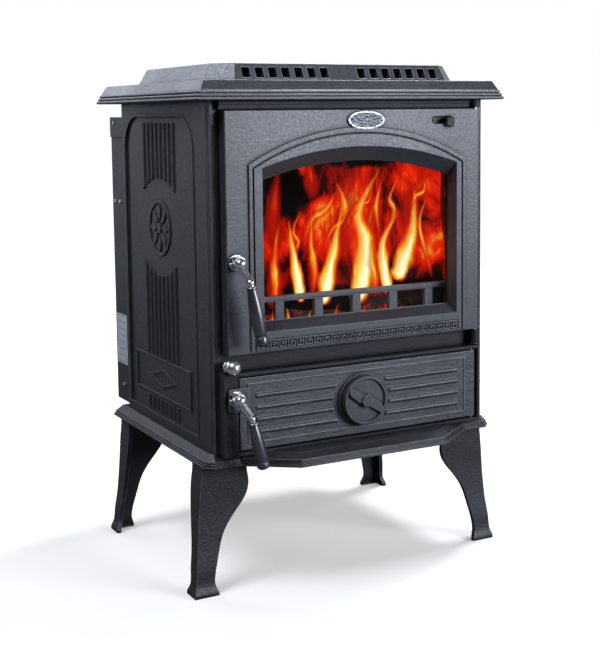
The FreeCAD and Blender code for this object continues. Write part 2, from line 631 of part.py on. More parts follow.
rot = FreeCAD.Rotation()
zu, zh = P.top_upper, P.hood_upper
outer = loft("hood_outer", [flat_sketch("hood_s", hood_loop(0.0), 0, 0, zu, rot), flat_sketch("hood_s", hood_loop(P.hood_lean), 0, 0, zh, rot)])
inner = loft("hood_inner", [flat_sketch("hood_s", hood_loop(P.hood_wall), 0, 0, zu, rot),
                            flat_sketch("hood_s", hood_loop(P.hood_wall + P.hood_lean - 3), 0, 0, zh - 6, rot)])
vents = []
for sx in (-1, 1):
    for k in range(7):
        x = sx * (34.5 + 23.2 * k)
        vents.append(box("vent", x - 7.4, x + 7.4, hf - 5, hf + 40, zu + 4.6, zh - 6.4))
keep("top_hood", cut("top_hood", outer, [inner] + vents))
keep("flue_blanking_plate", fuse("flue_blanking_plate", [
    cyl("blank_disc", 88, 5, 0, depth(232), zu), cyl("blank_spigot", 71, 8, 0, depth(232), zu - 8)]))
rods = [cyl("tie_rod", P.bolt_rad, P.top_upper - 4 - (P.base_upper - 12), x, y, P.base_upper - 12) for x, y in RODS]
keep("tie_rods", fuse("tie_rods", rods))
nuts = []
for x, y in RODS:
    nuts += [cut("nut", prism("nut_hex", "XY", [[(x + 7 * math.cos(a), y + 7 * math.sin(a)) for a in [math.radians(60 * k) for k in range(6)]]],
                              P.base_upper, P.base_upper + 6), [cyl("nut_bore", P.bolt_rad, 20, x, y, P.base_upper - 5)])]
keep("tie_rod_nuts", fuse("tie_rod_nuts", nuts))

# ---------------------------------------------------------------- firebox
by0, by1 = depth(74), yb - bt - 28
bl, bhh = P.brick_low, P.brick_high
for sx, name in ((-1, "firebrick_left"), (1, "firebrick_right")):
    b0 = box(name + "_blank", (-ins if sx < 0 else q(212)), (q(-212) if sx < 0 else ins), by0, by1, bl, bhh)
    keep(name, cut(name, b0, [box(name + "_joint", *((-214, -211) if sx < 0 else (211, 214)), y, y + 1.6, bl - 1, bhh + 1)
                              for y in (by0 + 98, by0 + 197)]))
keep("firebrick_back", cut("firebrick_back", box("firebrick_back_blank", -210, 210, by1, yb - bt, P.grate_z + 10, 548),
                           [box("brick_groove", -1, 1, by1 - 1, by1 + 2, P.grate_z + 14, 544)]))
keep("baffle_plate", cut("baffle_plate", box("baffle_blank", -232, 232, by0 + 2, depth(330), bhh, bhh + 6),
                         [box("baffle_notch", -40, 40, depth(318), depth(340), bhh - 1, bhh + 7)]))
gz = P.grate_z
gframe = box("grate_blank", -ins + 4, ins - 4, fp + 3, yb - bt - 3, gz, gz + 10)
tools = [box("grate_slot", -112 + 32 * k, -98 + 32 * k, -95, 80, gz - 2, gz + 12) for k in range(7)]
tools += [cyl("grate_rod_hole", 6, 30, x, y, gz - 5) for x, y in RODS]
keep("grate_frame", cut("grate_frame", gframe, tools))
rg = box("riddle_blank", -122, 122, -98, 98, gz + 10.3, gz + 17.3)
tools = [box("riddle_slot", -112 + 32 * k, -98 + 32 * k, -84, 84, gz + 8, gz + 20) for k in range(7)]
keep("riddling_grate", cut("riddling_grate", rg, tools))
rx, rz = P.rod_x, P.rod_z
kf = depth(-8)
rod = [cyl("rod_bar", P.rod_rad, q(-8) - (kf + 6), rx, kf + 6, rz, "+y"),
       box("rod_link", rx - 4, -122, -22, -8, gz + 11.5, gz + 17.5)]
keep("riddling_rod", fuse("riddling_rod", rod))
knob = fuse("knob_body", [ball("knob_ball", P.ball_rad, rx, kf, rz), ball("knob_ball", P.ball_rad - 0.3, rx, kf + 13.0, rz)])
keep("riddling_knob", cut("riddling_knob", knob, [cyl("knob_bore", P.rod_rad, 40, rx, kf + 6, rz, "+y")]))
gy = depth(41.5)
guard = box("guard_blank", -226, 226, gy, gy + 8, gz + 10, 466)
edges_, tools = [-226 + 8.0, 13 - 142 - 35.5, 13 - 71 - 35.5, 13 - 35.5, 13 + 35.5, 13 + 71 + 35.5, 13 + 142 + 35.5], []
centres = [13 + 71 * k for k in (-3, -2, -1, 0, 1, 2, 3)]
for a, b in zip(centres[:-1], centres[1:]):
    tools.append(box("guard_gap", max(a + 7.5, -222), min(b - 7.5, 222), gy - 2, gy + 12, 416, 458))
topbar = box("guard_shelf", -226, 226, gy - 2, gy + 9, 461, 467)
keep("log_guard", fuse("log_guard", [cut("guard_cut", guard, tools), topbar]))
pw, pz = 168.0, P.base_upper
pan = cut("pan_shell", box("pan_outer", -pw, pw, fp + 6, 150, pz, pz + 84),
          [box("pan_inner", -pw + 1.6, pw - 1.6, fp + 7.6, 148.4, pz + 1.6, pz + 100)])
pan_rim = cut("pan_rim", box("pan_rim_outer", -pw - 6, pw + 6, fp + 2.5, 156, pz + 82.4, pz + 84),
              [box("pan_rim_inner", -pw + 1.6, pw - 1.6, fp + 7.6, 148.4, pz + 70, pz + 90)])
keep("ash_pan", fuse("ash_pan", [pan, pan_rim]))

# ---------------------------------------------------------------- fire door
dh, dl, du = P.door_half, P.door_low, P.door_high
df = depth(P.door_face)
db = df + P.door_deep
dm = df + P.door_plate
block = prism("door_block", "XY", [[(-dh, db), (-dh, df + 1.2), (-dh + 1.2, df), (dh - 7, df, 7), (dh, df + 7), (dh, db - 1.5), (dh - 1.5, db)]], dl, du)
pocket = box("door_pocket", -dh + 8, 210, dm, db + 1, dl + 8, du - 8)
wl, wr_, wz, ws_, wa = P.win_left, P.win_right, P.win_low, P.win_spring, P.win_arch
fl, fr, fs, fa = P.frame_left, P.frame_right, P.frame_spring, P.frame_arch


def oval(a, b, x, z, y0, y1):
    e = Part.Ellipse(V(0, 0, 0), a, b)
    face = Part.Face(Part.Wire([e.toShape()]))
    s = face.extrude(V(0, 0, y1 - y0))
    s.Placement = FreeCAD.Placement(V(x, y1, z), FreeCAD.Rotation(V(1, 0, 0), 90))
    return s


bx, bz, bf = 10.5, 743.0, df.value


def arched(a, b, z0, z1, rad):
    return [(-q(a), z0), (q(b), z0), (q(b), z1, rad), (-q(a), z1)]


raised = prism("door_frame_raised", "XZ", [arched(fl, fr, dl + 3, fs, fa)], df - P.frame_proud, df)
g1 = cut("door_groove", prism("groove_outer", "XZ", [arched(fl - 5.5, fr - 5.5, dl - 4, fs - 5, fa - 5)], df - P.frame_proud - 1, df - 0.6),
         [prism("groove_inner", "XZ", [arched(fl - 8.5, fr - 8.5, dl - 9, fs - 7, fa - 8)], df - P.frame_proud - 2, df)])
ring_b = prism("window_flange", "XZ", [arched(wl + 8, wr_ + 8, wz - 6, ws_ + 4, wa)], dm - 0.5, df + 19)
rxz = FreeCAD.Rotation(V(1, 0, 0), 90)
bev0 = flat_sketch("bevel_front", arched(wl, wr_, wz, ws_, wa), 0, df - P.frame_proud - 0.01, 0, rxz)
bev1 = flat_sketch("bevel_rear", arched(wl - 4.5, wr_ - 4.5, wz + 13, ws_ - 21, wa), 0, df + 16, 0, rxz)
reveal = loft("reveal", [bev0, bev1])
through = prism("window_through", "XZ", [arched(wl - 4.5, wr_ - 4.5, wz + 13, ws_ - 21, wa)], df + 15, df + 21)
boss = cyl("spindle_boss", 13, 10, P.spin_x, df - 3, P.spin_z, "+y")
# fret band: one plain meander unit repeated
kz0, kz1, kp, kb = 392.5, 406.0, P.key_pitch, 1.9
unit_h = kz1 - kz0
faces = []
count = 24
x_first = -182.0
for k in range(count):
    x0 = x_first + k * kp.value
    x1 = x0 + kp.value
    w_ = x1 - x0
    pts = [(x0, kz0), (x0 + w_ - 2.2, kz0), (x0 + w_ - 2.2, kz0 + 9.0), (x0 + 4.6, kz0 + 9.0), (x0 + 4.6, kz0 + 4.4),
           (x0 + 8.6, kz0 + 4.4), (x0 + 8.6, kz0 + 6.2), (x0 + 6.4, kz0 + 6.2), (x0 + 6.4, kz0 + 7.2), (x0 + w_ - 4.2, kz0 + 7.2),
           (x0 + w_ - 4.2, kz0 + kb), (x0 + kb, kz0 + kb), (x0 + kb, kz1 - kb), (x1 + 0.01, kz1 - kb), (x1 + 0.01, kz1), (x0, kz1)]
    wire = Part.makePolygon([V(a, (df - P.frame_proud).value + 1.5, b) for a, b in pts + [pts[0]]])
    faces.append(Part.Face(wire).extrude(V(0, -2.7, 0)))
fret = feature("fret_band", faces[0].multiFuse(faces[1:]).removeSplitter())
door = fuse("door_casting", [cut("door_tray", block, [pocket]), raised, ring_b, boss])
sx0, sx1, sz = 143.5, 172.5, 741.5
tools = [reveal, through, g1,
         box("fret_tray", x_first - 1.2, x_first + count * kp + 1.2, df - P.frame_proud - 1, df - P.frame_proud + 1.5, kz0 - 1.2, kz1 + 1.2),
         box("slot_mid", sx0, sx1, df - 2, dm + 2, sz - 6.5, sz + 6.5),
         cyl("slot_end", 6.5, 20, sx0, df - 2, sz, "+y"), cyl("slot_end", 6.5, 20, sx1, df - 2, sz, "+y"),
         cyl("spindle_bore", P.spin_rad + P.pin_clear, 60, P.spin_x, df - 10, P.spin_z, "+y"),
         feature("badge_seat", oval(33.7, 14.8, bx, bz, bf - 6, bf)),
         cyl("clip_tap", 1.0, 6, -wl - 4.6 * 1.0 - 3.8, df + 15, 470, "+y"), cyl("clip_tap", 1.0, 6, -wl - 8.4, df + 15, 620, "+y"),
         cyl("clip_tap", 1.0, 6, wr_ + 8.4, df + 15, 470, "+y"), cyl("clip_tap", 1.0, 6, wr_ + 8.4, df + 15, 620, "+y"),
         cyl("door_pin_bore", P.pin_rad + P.pin_clear, 17, px, py, dl - 1),
         cyl("door_pin_bore", P.pin_rad + P.pin_clear, 17, px, py, du - 16)]
keep("fire_door", fuse("fire_door", [cut("door_machined", door, tools), fret]))
gt = df + 19
keep("door_glass", prism("door_glass", "XZ", [arched(wl + 5, wr_ + 5, wz + 4, ws_ - 14, wa)], gt + 1.0, gt + 1.0 + P.glass_thick))
gasket = cut("glass_gasket", prism("gasket_outer", "XZ", [arched(wl + 5, wr_ + 5, wz + 4, ws_ - 14, wa)], gt, gt + 1.0),
             [prism("gasket_inner", "XZ", [arched(wl - 3, wr_ - 3, wz + 14.5, ws_ - 22, wa)], gt - 1, gt + 3)])
keep("glass_gasket", gasket)
clips, cscrews = [], []
for x, z, sx in ((-wl - 6.5, q(470), -1), (-wl - 6.5, q(620), -1), (wr_ + 6.5, q(470), 1), (wr_ + 6.5, q(620), 1)):
    a, b = (x - 4, x + 11) if sx < 0 else (x - 11, x + 4)
    clips.append(cut("clip", fuse("clip_body", [box("clip_tongue", a, b, gt + 1 + P.glass_thick, gt + 1 + P.glass_thick + 1.5, z - 9, z + 9),
                 (box("clip_leg", x - 4, x - 0.2, gt, gt + 1 + P.glass_thick, z - 9, z + 9) if sx < 0 else
                  box("clip_leg", x + 0.2, x + 4, gt, gt + 1 + P.glass_thick, z - 9, z + 9))]),
                     [cyl("clip_hole", 1.0, 20, x - 1.9 * (1 if sx < 0 else -1), gt - 2, z, "+y")]))
    cscrews += [cyl("clip_screw", 1.0, 10.5, x - 1.9 * (1 if sx < 0 else -1), gt - 4, z, "+y"),
                cyl("clip_screw_head", 2.1, 1.2, x - 1.9 * (1 if sx < 0 else -1), gt + 2.5 + P.glass_thick, z, "+y")]
keep("glass_clips", fuse("glass_clips", clips))
keep("glass_clip_screws", fuse("glass_clip_screws", cscrews))
seal = cut("fire_door_seal", box("seal_outer", -dh + 1, 218.5, db, db + 2.6, dl + 1, du - 1),
           [box("seal_inner", -dh + 7.5, 212, db - 1, db + 4, dl + 7.5, du - 7.5)])
keep("fire_door_seal", seal)


badge = oval(33.5, 14.6, bx, bz, bf - 3.2, bf).cut(oval(30.0, 11.6, bx, bz, bf - 4, bf - 2.0))
keep("oval_badge", feature("oval_badge", badge))


# ---------------------------------------------------------------- handles
def handle(tag, cx, cz, back_y, hub_d, cam_len, a, b):
    """Spindle with latch cam, chrome crank, ferrule and grip. a and b are the
    ends of the grip as offsets from the hub (x, y, z)."""
    hub_y = depth(hub_d)
    keep(tag + "_spindle", cyl(tag + "_spindle", P.spin_rad, back_y - (hub_y + 4), cx, hub_y + 4, cz, "+y"))
    cam = fuse(tag + "_cam_body", [cyl(tag + "_cam_hub", 8.2, 6, cx, back_y - 8, cz, "+y"),
               prism(tag + "_cam_arm", "XZ", [[(cx - 4.5, cz), (cx - 3.5, cz - cam_len), (cx + 3.5, cz - cam_len), (cx + 4.5, cz)]], back_y - 8, back_y - 2)])
    keep(tag + "_latch_cam", cut(tag + "_latch_cam", cam, [cyl(tag + "_cam_bore", P.spin_rad, 20, cx, back_y - 14, cz, "+y")]))
    ax, ay, az = a
    bx_, by_, bz_ = b
    way = V(bx_ - ax, by_ - ay, bz_ - az)
    length = way.Length
    u = way.normalize()
    arm = V(ax, ay, az)
    la = arm.Length
    crank = [cyl(tag + "_crank_hub", 10, 12, cx, hub_y - 6, cz, "+y"), ball(tag + "_crank_dome", 9.0, cx, hub_y - 5.5, cz),
             cone(tag + "_crank_arm", 7.0, 5.2, la, cx, hub_y - 1, cz, tuple(V(ax, ay, az).normalize())),
             ball(tag + "_crank_elbow", 5.8, cx + ax, hub_y - 1 + ay, cz + az),
             cyl(tag + "_crank_stub", 5.2, 6, cx + ax, hub_y - 1 + ay, cz + az, tuple(u))]
    keep(tag + "_crank", cut(tag + "_crank", fuse(tag + "_crank_body", crank),
                             [cyl(tag + "_crank_bore", P.spin_rad, 20, cx, hub_y + 4, cz, "+y")]))
    s0 = V(ax, ay - 1, az) + u * 6
    keep(tag + "_ferrule", turned(tag + "_ferrule", [(0.0, 0.0), (7.6, 0.0, 2.2), (7.6, 3.8), (0.0, 3.8)],
                                  cx + s0.x, hub_y + s0.y, cz + s0.z, tuple(u)))
    s1 = s0 + u * 3.8
    L = length - 10
    prof = [(0.0, 0.0), (7.2, 0.0, 260.0), (9.9, L * 0.74, 120.0), (9.0, L * 0.80), (8.1, L * 0.815), (8.1, L * 0.83), (9.6, L * 0.845, 60.0),
            (10.1, L * 0.92, 7.0), (5.0, L), (0.0, L)]
    keep(tag + "_grip", turned(tag + "_grip", prof, cx + s1.x, hub_y + s1.y, cz + s1.z, tuple(u)))


handle("door_handle", P.spin_x, P.spin_z, depth(52), -9.5, 24.0, (9.0, -20.0, -28.0), (24.5, -28.0, -125.0))
handle("ash_handle", P.ash_spin_x, P.ash_spin_z, depth(52), -13.5, 15.0, (13.5, -17.0, -27.0), (29.0, -24.2, -105.0))
rose = []
for cx, cz, y1 in ((P.spin_x, P.spin_z, df - 3), (P.ash_spin_x, P.ash_spin_z, depth(-2.6))):
    r_ = fuse("rose_body", [cyl("rose", 12, 2.0, cx, y1 - 2.0, cz, "+y"), ball("rose_dot", 2.6, cx + 8.6, y1 - 2.0, cz + 2), ball("rose_dot", 2.6, cx - 8.6, y1 - 2.0, cz - 2)])
    rose.append(cut("rose_cut", r_, [cyl("rose_bore", P.spin_rad + 0.5, 20, cx, y1 - 10, cz, "+y"), box("rose_back", cx - 14, cx + 14, y1, y1 + 8, cz - 14, cz + 14)]))
keep("door_handle_rose", rose[0])
keep("ash_handle_rose", rose[1])

# ---------------------------------------------------------------- air wash slider
sl = cut("slider_plate", box("slider_blank", 112, 192, dm + 0.4, dm + 2.4, sz - 12, sz + 8.5),
         [box("slider_gap", 118, 146, dm - 1, dm + 4, sz - 3, sz + 5)])
keep("air_wash_slider", sl)
lx = 171.0
keep("air_wash_lever", fuse("air_wash_lever", [
    box("lever_stem", lx - 4.5, lx + 4.5, df - 3.5, dm + 0.4, sz - 4, sz + 4),
    rounded("lever_pad", box("lever_blank", lx - 8.5, lx + 6.0, df - 7.0, df - 3.5, sz - 10.5, sz + 4.5), 1.6, lambda e: True)]))
keep("slider_guides", fuse("slider_guides", [
    fuse("guide", [box("guide_foot", x, x + 10, dm, dm + 3, sz + 9, sz + 10), box("guide_hook", x, x + 10, dm + 2.8, dm + 4, sz - 15, sz + 10),
                   box("guide_foot", x, x + 10, dm, dm + 3, sz - 15, sz - 12.6)]) for x in (100, 196)]))

# ---------------------------------------------------------------- ash door
al, ar, alo, ahi = P.ash_left, P.ash_right, P.ash_low, P.ash_high
af = depth(P.ash_face)
ab = af + P.ash_thick
ablock = prism("ash_block", "XY", [[(-al, ab), (-al, af + 1), (-al + 1, af), (ar - 3, af, 3), (ar, af + 3), (ar, ab - 1.5), (ar - 1.5, ab)]], alo, ahi)
wx, wz0 = P.wheel_x, P.wheel_z
bars = []
bead = cut("ash_bead", box("ash_bead_outer", -206, 203, af - 1.2, af, alo + 9, ahi - 9), [box("ash_bead_inner", -203.5, 200.5, af - 3, af + 1, alo + 11.5, ahi - 11.5)])
zr = [320.5, 301.5, 282.5, 263.5]
for z in zr:
    for x0, x1 in ((-191.0, -20.0), (20.0, 187.0)):
        bars.append(prism("ash_rib", "YZ", [[(af + 1.0, q(z) - 4.2), (af, q(z) - 4.2, -4.6), (af, q(z) + 4.2), (af + 1.0, q(z) + 4.2)]], x0, x1))
bars = cut("ash_ribs", fuse("ash_rib_set", bars), [cyl("ash_rib_sweep", 54, 20, wx, af - 10, wz0, "+y")])
seat = cyl("wheel_seat", 43, 4.5, wx, af - 4.5, wz0, "+y")
ear = rounded("ash_ear", box("ash_ear_blank", P.ash_spin_x - 11, -al + 14, depth(-2.6), sf - 0.6, P.ash_spin_z - 21, P.ash_spin_z + 15), 4.0,
              lambda e: abs(e.BoundBox.YLength - 4.0) < 0.1 and e.BoundBox.XMax < -235)
ear_root = box("ash_ear_root", -al, -al + 14, sf - 0.7, af + 2, P.ash_spin_z - 21, P.ash_spin_z + 15)
tools = [cyl("air_hole", 8.5, 40, wx + 24 * math.cos(a), af - 10, wz0 + 24 * math.sin(a), "+y") for a in [math.radians(60 * k) for k in range(6)]]
tools += [cyl("stud_hole", 5.0, 40, wx, af - 10, wz0, "+y"),
          cyl("ash_spindle_bore", P.spin_rad + P.pin_clear, 40, P.ash_spin_x, depth(-12), P.ash_spin_z, "+y"),
          cyl("ash_pin_bore", P.ash_pin_rad + P.pin_clear, 15, ap, aq, alo - 1), cyl("ash_pin_bore", P.ash_pin_rad + P.pin_clear, 15, ap, aq, ahi - 14)]
keep("ash_door", cut("ash_door", fuse("ash_casting", [ablock, bead, bars, seat, ear, ear_root]), tools))
keep("ash_door_seal", cut("ash_door_seal", box("ash_seal_outer", -214, 210, ab, yf - 0.4 - 7.0, 240, 347),
                          [box("ash_seal_inner", -206, 203, ab - 1, yf, 248, 339)]))
keep("spin_wheel_stud", fuse("spin_wheel_stud", [cyl("stud_bar", 5.0, 34.5, wx, af - 16.5, wz0, "+y"), cyl("stud_nut", 9, 6, wx, ab, wz0, "+y")]))
w0 = af - 4.5 - 0.4
disc = cyl("wheel_disc", P.wheel_rad, 11.5, wx, w0 - 11.5, wz0, "+y")
dish = cyl("wheel_dish", P.wheel_rad - 3.6, 4.6, wx, w0 - 12.5, wz0, "+y")
body = cut("wheel_dished", rounded("wheel_round", disc, 1.6, lambda e: True), [dish])
ua, ub = 29.0, 7.2
ca, sa = math.cos(math.radians(-33)), math.sin(math.radians(-33))


def turnp(a, b):
    return (wx + (a * ca - b * sa), wz0 + (a * sa + b * ca))


bar = [(-37.2, -2.0), (-31.0, -7.0), (-13.0, -9.0), (9.0, -5.4), (37.0, -4.4), (37.2, 2.0), (31.0, 7.0), (13.0, 9.0), (-9.0, 5.4), (-37.0, 4.4)]
grip = prism("wheel_grip", "XZ", [[turnp(a, b) for a, b in bar]], w0 - 14.0, w0 - 6)
wheel_boss = cyl("wheel_boss", 9.5, 12, wx, w0 - 17.0, wz0, "+y")
wheel = cut("spin_wheel", fuse("wheel_body", [body, grip, wheel_boss]),
            [cyl("wheel_bore", 7.56, 14.5, wx, w0 - 13.5, wz0, "+y")])
keep("spin_wheel", wheel)
keep("spin_wheel_nut", cut("spin_wheel_nut", cyl("wheel_nut", 7.5, 6.5, wx, w0 - 9.0, wz0, "+y"),
                           [cyl("wheel_nut_bore", 5.0 + P.pin_clear, 30, wx, w0 - 20, wz0, "+y")]))

# ---------------------------------------------------------------- checks and export
doc.recompute()
for o in doc.Objects:
    bad = [t for t in o.State if t in ("Invalid", "Error")]
    if bad:
        raise RuntimeError("%s (%s) is %s" % (o.Name, o.Label, bad))
os.makedirs("parts", exist_ok=True)
for label, o in final.items():
    s = o.Shape
    if s.isNull() or not s.isValid() or not s.Solids or s.Volume <= 0:
        raise RuntimeError("shape of %s is not a valid solid" % label)
total = None
for label, o in final.items():
    o.Shape.exportStep("parts/%s.step" % label)
    bb = o.Shape.BoundBox
    print("%-24s solids %2d  vol %10.1f cm3  x %.1f..%.1f y %.1f..%.1f z %.1f..%.1f" % (
        label, len(o.Shape.Solids), o.Shape.Volume / 1000.0, bb.XMin, bb.XMax, bb.YMin, bb.YMax, bb.ZMin, bb.ZMax))
    if total is None:
        total = FreeCAD.BoundBox(bb)
    else:
        total.add(bb)
print("nodes", len(final), "box", total)
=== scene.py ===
import bpy
import bmesh
import json
import math
import random
from mathutils import Matrix, Vector, noise


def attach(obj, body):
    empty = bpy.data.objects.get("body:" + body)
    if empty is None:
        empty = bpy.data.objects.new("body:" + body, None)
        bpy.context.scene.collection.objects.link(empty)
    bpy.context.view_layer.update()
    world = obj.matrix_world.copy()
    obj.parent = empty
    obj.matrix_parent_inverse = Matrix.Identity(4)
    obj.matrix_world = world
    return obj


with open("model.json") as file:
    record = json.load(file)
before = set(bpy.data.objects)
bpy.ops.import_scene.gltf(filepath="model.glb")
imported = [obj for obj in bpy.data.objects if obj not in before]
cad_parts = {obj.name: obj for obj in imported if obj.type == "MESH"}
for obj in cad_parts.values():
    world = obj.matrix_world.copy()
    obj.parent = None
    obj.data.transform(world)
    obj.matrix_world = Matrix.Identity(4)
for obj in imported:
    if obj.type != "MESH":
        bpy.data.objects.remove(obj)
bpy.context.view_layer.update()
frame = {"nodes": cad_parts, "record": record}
CAD = frame["nodes"]
MM = 0.001

scene = bpy.context.scene
scene.view_settings.view_transform = "Standard"
scene.view_settings.look = "None"

# ------------------------------------------------------------------ camera
yaw, pitch, roll = -0.49883, -0.10444, -0.01085
fwd = Vector((math.sin(-yaw) * math.cos(pitch), math.cos(-yaw) * math.cos(pitch), math.sin(pitch)))
right = fwd.cross(Vector((0, 0, 1))).normalized()
up = right.cross(fwd)
cr, sr = math.cos(roll), math.sin(roll)
right, up = right * cr + up * sr, up * cr - right * sr
cam_data = bpy.data.cameras.new("camera")
cam = bpy.data.objects.new("camera", cam_data)
scene.collection.objects.link(cam)
rot = Matrix((right, up, -fwd)).transposed().to_4x4()
cam.matrix_world = Matrix.Translation(Vector((-1.0042, -1.9067, 0.7501))) @ rot
cam_data.sensor_width = 36
cam_data.lens = 67.089
cam_data.shift_x = -0.022
cam_data.shift_y = -0.1288
cam_data.clip_start = 0.05
cam_data.clip_end = 200
scene.camera = cam

# ------------------------------------------------------------------ node helpers


class Net:
    """A material's node tree, with a short way to add nodes and link them."""

    def __init__(self, name):
        self.mat = bpy.data.materials.new(name)
        self.mat.use_nodes = True
        self.nt = self.mat.node_tree
        self.nt.nodes.clear()
        out = self.nt.nodes.new("ShaderNodeOutputMaterial")
        self.bsdf = self.nt.nodes.new("ShaderNodeBsdfPrincipled")
        self.nt.links.new(self.bsdf.outputs[0], out.inputs[0])
        self.co = self.node("ShaderNodeTexCoord").outputs["Object"]

    def node(self, kind, **props):
        n = self.nt.nodes.new(kind)
        for k, v in props.items():
            setattr(n, k, v)
        return n

    def put(self, socket, value):
        if isinstance(value, bpy.types.NodeSocket):
            self.nt.links.new(value, socket)
        elif value is not None:
            socket.default_value = value

    def scaled(self, vec):
        n = self.node("ShaderNodeMapping")
        self.put(n.inputs["Vector"], self.co)
        n.inputs["Scale"].default_value = vec
        return n.outputs[0]

    def noise(self, scale, detail=3.0, rough=0.55, vec=None, distort=0.0):
        n = self.node("ShaderNodeTexNoise")
        self.put(n.inputs["Vector"], vec or self.co)
        n.inputs["Scale"].default_value = scale
        n.inputs["Detail"].default_value = detail
        n.inputs["Roughness"].default_value = rough
        n.inputs["Distortion"].default_value = distort
        return n.outputs["Fac"]

    def voronoi(self, scale, feature="F1", vec=None, rand=1.0):
        n = self.node("ShaderNodeTexVoronoi", feature=feature)
        self.put(n.inputs["Vector"], vec or self.co)
        n.inputs["Scale"].default_value = scale
        n.inputs["Randomness"].default_value = rand
        return n.outputs["Distance"]

    def math(self, op, a, b=None, clamp=False):
        n = self.node("ShaderNodeMath", operation=op, use_clamp=clamp)
        self.put(n.inputs[0], a)
        self.put(n.inputs[1], b)
        return n.outputs[0]

    def remap(self, v, a, b, c=0.0, d=1.0):
        n = self.node("ShaderNodeMapRange")
        self.put(n.inputs["Value"], v)
        for k, x in zip(("From Min", "From Max", "To Min", "To Max"), (a, b, c, d)):
            n.inputs[k].default_value = x
        return n.outputs[0]

    def ramp(self, v, stops):
        n = self.node("ShaderNodeValToRGB")
        self.put(n.inputs[0], v)
        e = n.color_ramp.elements
        while len(e) < len(stops):
            e.new(0.5)
        for s, (at, c) in zip(e, stops):
            s.position = at
            s.color = (*c, 1) if len(c) == 3 else c
        return n.outputs[0]

    def mix(self, fac, a, b, blend="MIX"):
        n = self.node("ShaderNodeMix", data_type="RGBA", blend_type=blend)
        self.put(n.inputs[0], fac)
        for s, c in ((n.inputs[6], a), (n.inputs[7], b)):
            self.put(s, (*c, 1) if isinstance(c, tuple) and len(c) == 3 else c)
        return n.outputs[2]

    def bump(self, height, strength, distance, normal=None):
        n = self.node("ShaderNodeBump")
        n.inputs["Strength"].default_value = strength
        n.inputs["Distance"].default_value = distance
        self.put(n.inputs["Height"], height)
        if normal is not None:
            self.put(n.inputs["Normal"], normal)
        return n.outputs[0]

    def edge(self, radius):
        """Rounded normal, and a mask that is 1 along edges and 0 on flats."""
        b = self.node("ShaderNodeBevel", samples=6)
        b.inputs["Radius"].default_value = radius
        g = self.node("ShaderNodeNewGeometry")
        d = self.node("ShaderNodeVectorMath", operation="DOT_PRODUCT")
        self.put(d.inputs[0], b.outputs[0])
        self.put(d.inputs[1], g.outputs["Normal"])
        return b.outputs[0], self.remap(d.outputs["Value"], 0.995, 0.86)

    def crevice(self, dist):
        a = self.node("ShaderNodeAmbientOcclusion", samples=6)
        a.inputs["Distance"].default_value = dist
        return a.outputs["AO"]

    def set(self, **kw):
        for k, v in kw.items():
            self.put(self.bsdf.inputs[k.replace("_", " ")], v)
        return self.mat


def cast_paint(name, dark, light, rough, spec, grain=1.0, wear_and_highlight=0.5, wear_and_highlight_col=(0.30, 0.32, 0.34), radius=0.0012, painted_crevice_shade=0.6, up_faces_lighter=False):
    """Satin stove paint on cast iron: sand-cast grain, faint unevenness, thin paint with a painted highlight on the
    edges, painted shade in the corners.
    """
    n = Net(name)
    fine = n.noise(620, 2.0, 0.6)
    sand = n.noise(210, 3.0, 0.55)
    mid = n.noise(34, 4.0, 0.55)
    wide = n.noise(5.5, 3.0, 0.5)
    tone = n.math("ADD", n.math("MULTIPLY", wide, 0.5), n.math("MULTIPLY", mid, 0.5))
    col = n.ramp(tone, [(0.34, dark), (0.66, light)])
    speck = n.remap(n.math("ADD", n.math("MULTIPLY", sand, 0.6), n.math("MULTIPLY", fine, 0.4)), 0.36, 0.64, 0.72, 1.30)
    col = n.mix(1.0, col, speck, "MULTIPLY")
    # Lighter along the edges: worn paint together with a painted highlight.
    round_n, edge = n.edge(radius)
    worn_and_highlit = n.math("MULTIPLY", edge, n.remap(mid, 0.36, 0.58, wear_and_highlight * 0.45, wear_and_highlight))
    col = n.mix(worn_and_highlit, col, wear_and_highlight_col)
    # Darker in corners and creases, following ambient occlusion: painted shade.
    ao = n.crevice(0.009)
    shade = n.remap(ao, 0.45, 0.92, 1.0 - painted_crevice_shade, 1.0)
    col = n.mix(1.0, col, shade, "MULTIPLY")
    r = n.math("ADD", n.remap(wide, 0.3, 0.7, rough[0], rough[1]), n.remap(sand, 0.32, 0.68, -0.07, 0.07))
    h = n.math("ADD", n.math("MULTIPLY", fine, 0.35), n.math("MULTIPLY", sand, 0.65))
    nrm = n.bump(h, 0.55 * grain, 0.0006, round_n)
    nrm = n.bump(mid, 0.09 * grain, 0.0022, nrm)
    r = n.math("ADD", r, n.math("MULTIPLY", n.math("SUBTRACT", 1.0, shade), 0.45))
    if up_faces_lighter:
        # Faces that point up turn lighter and rougher.
        up = n.node("ShaderNodeSeparateXYZ")
        n.put(up.inputs[0], n.node("ShaderNodeNewGeometry").outputs["True Normal"])
        up_facing = n.math("MULTIPLY", n.remap(up.outputs["Z"], 0.94, 0.99, 0.0, 1.0), n.remap(mid, 0.3, 0.7, 0.7, 1.0))
        r = n.math("ADD", r, n.math("MULTIPLY", up_facing, 0.34))
        col = n.mix(n.math("MULTIPLY", up_facing, 0.22), col, (0.10, 0.10, 0.105))
    return n.set(Base_Color=col, Roughness=r, Normal=nrm, Specular_IOR_Level=spec)


def chrome(name, base=(0.86, 0.86, 0.88), rough=(0.18, 0.30)):
    n = Net(name)
    a = n.noise(60, 3.0)
    b = n.noise(900, 2.0, vec=n.scaled((1, 1, 0.12)))
    # Base colour darkens in crevices, following ambient occlusion: painted shade.
    ao = n.crevice(0.006)
    col = n.mix(n.remap(ao, 0.3, 0.9), (0.10, 0.10, 0.11), base)
    round_n, edge = n.edge(0.0007)
    return n.set(Base_Color=col, Metallic=1.0, Roughness=n.remap(a, 0.3, 0.7, *rough), Normal=n.bump(b, 0.05, 0.0002, round_n))


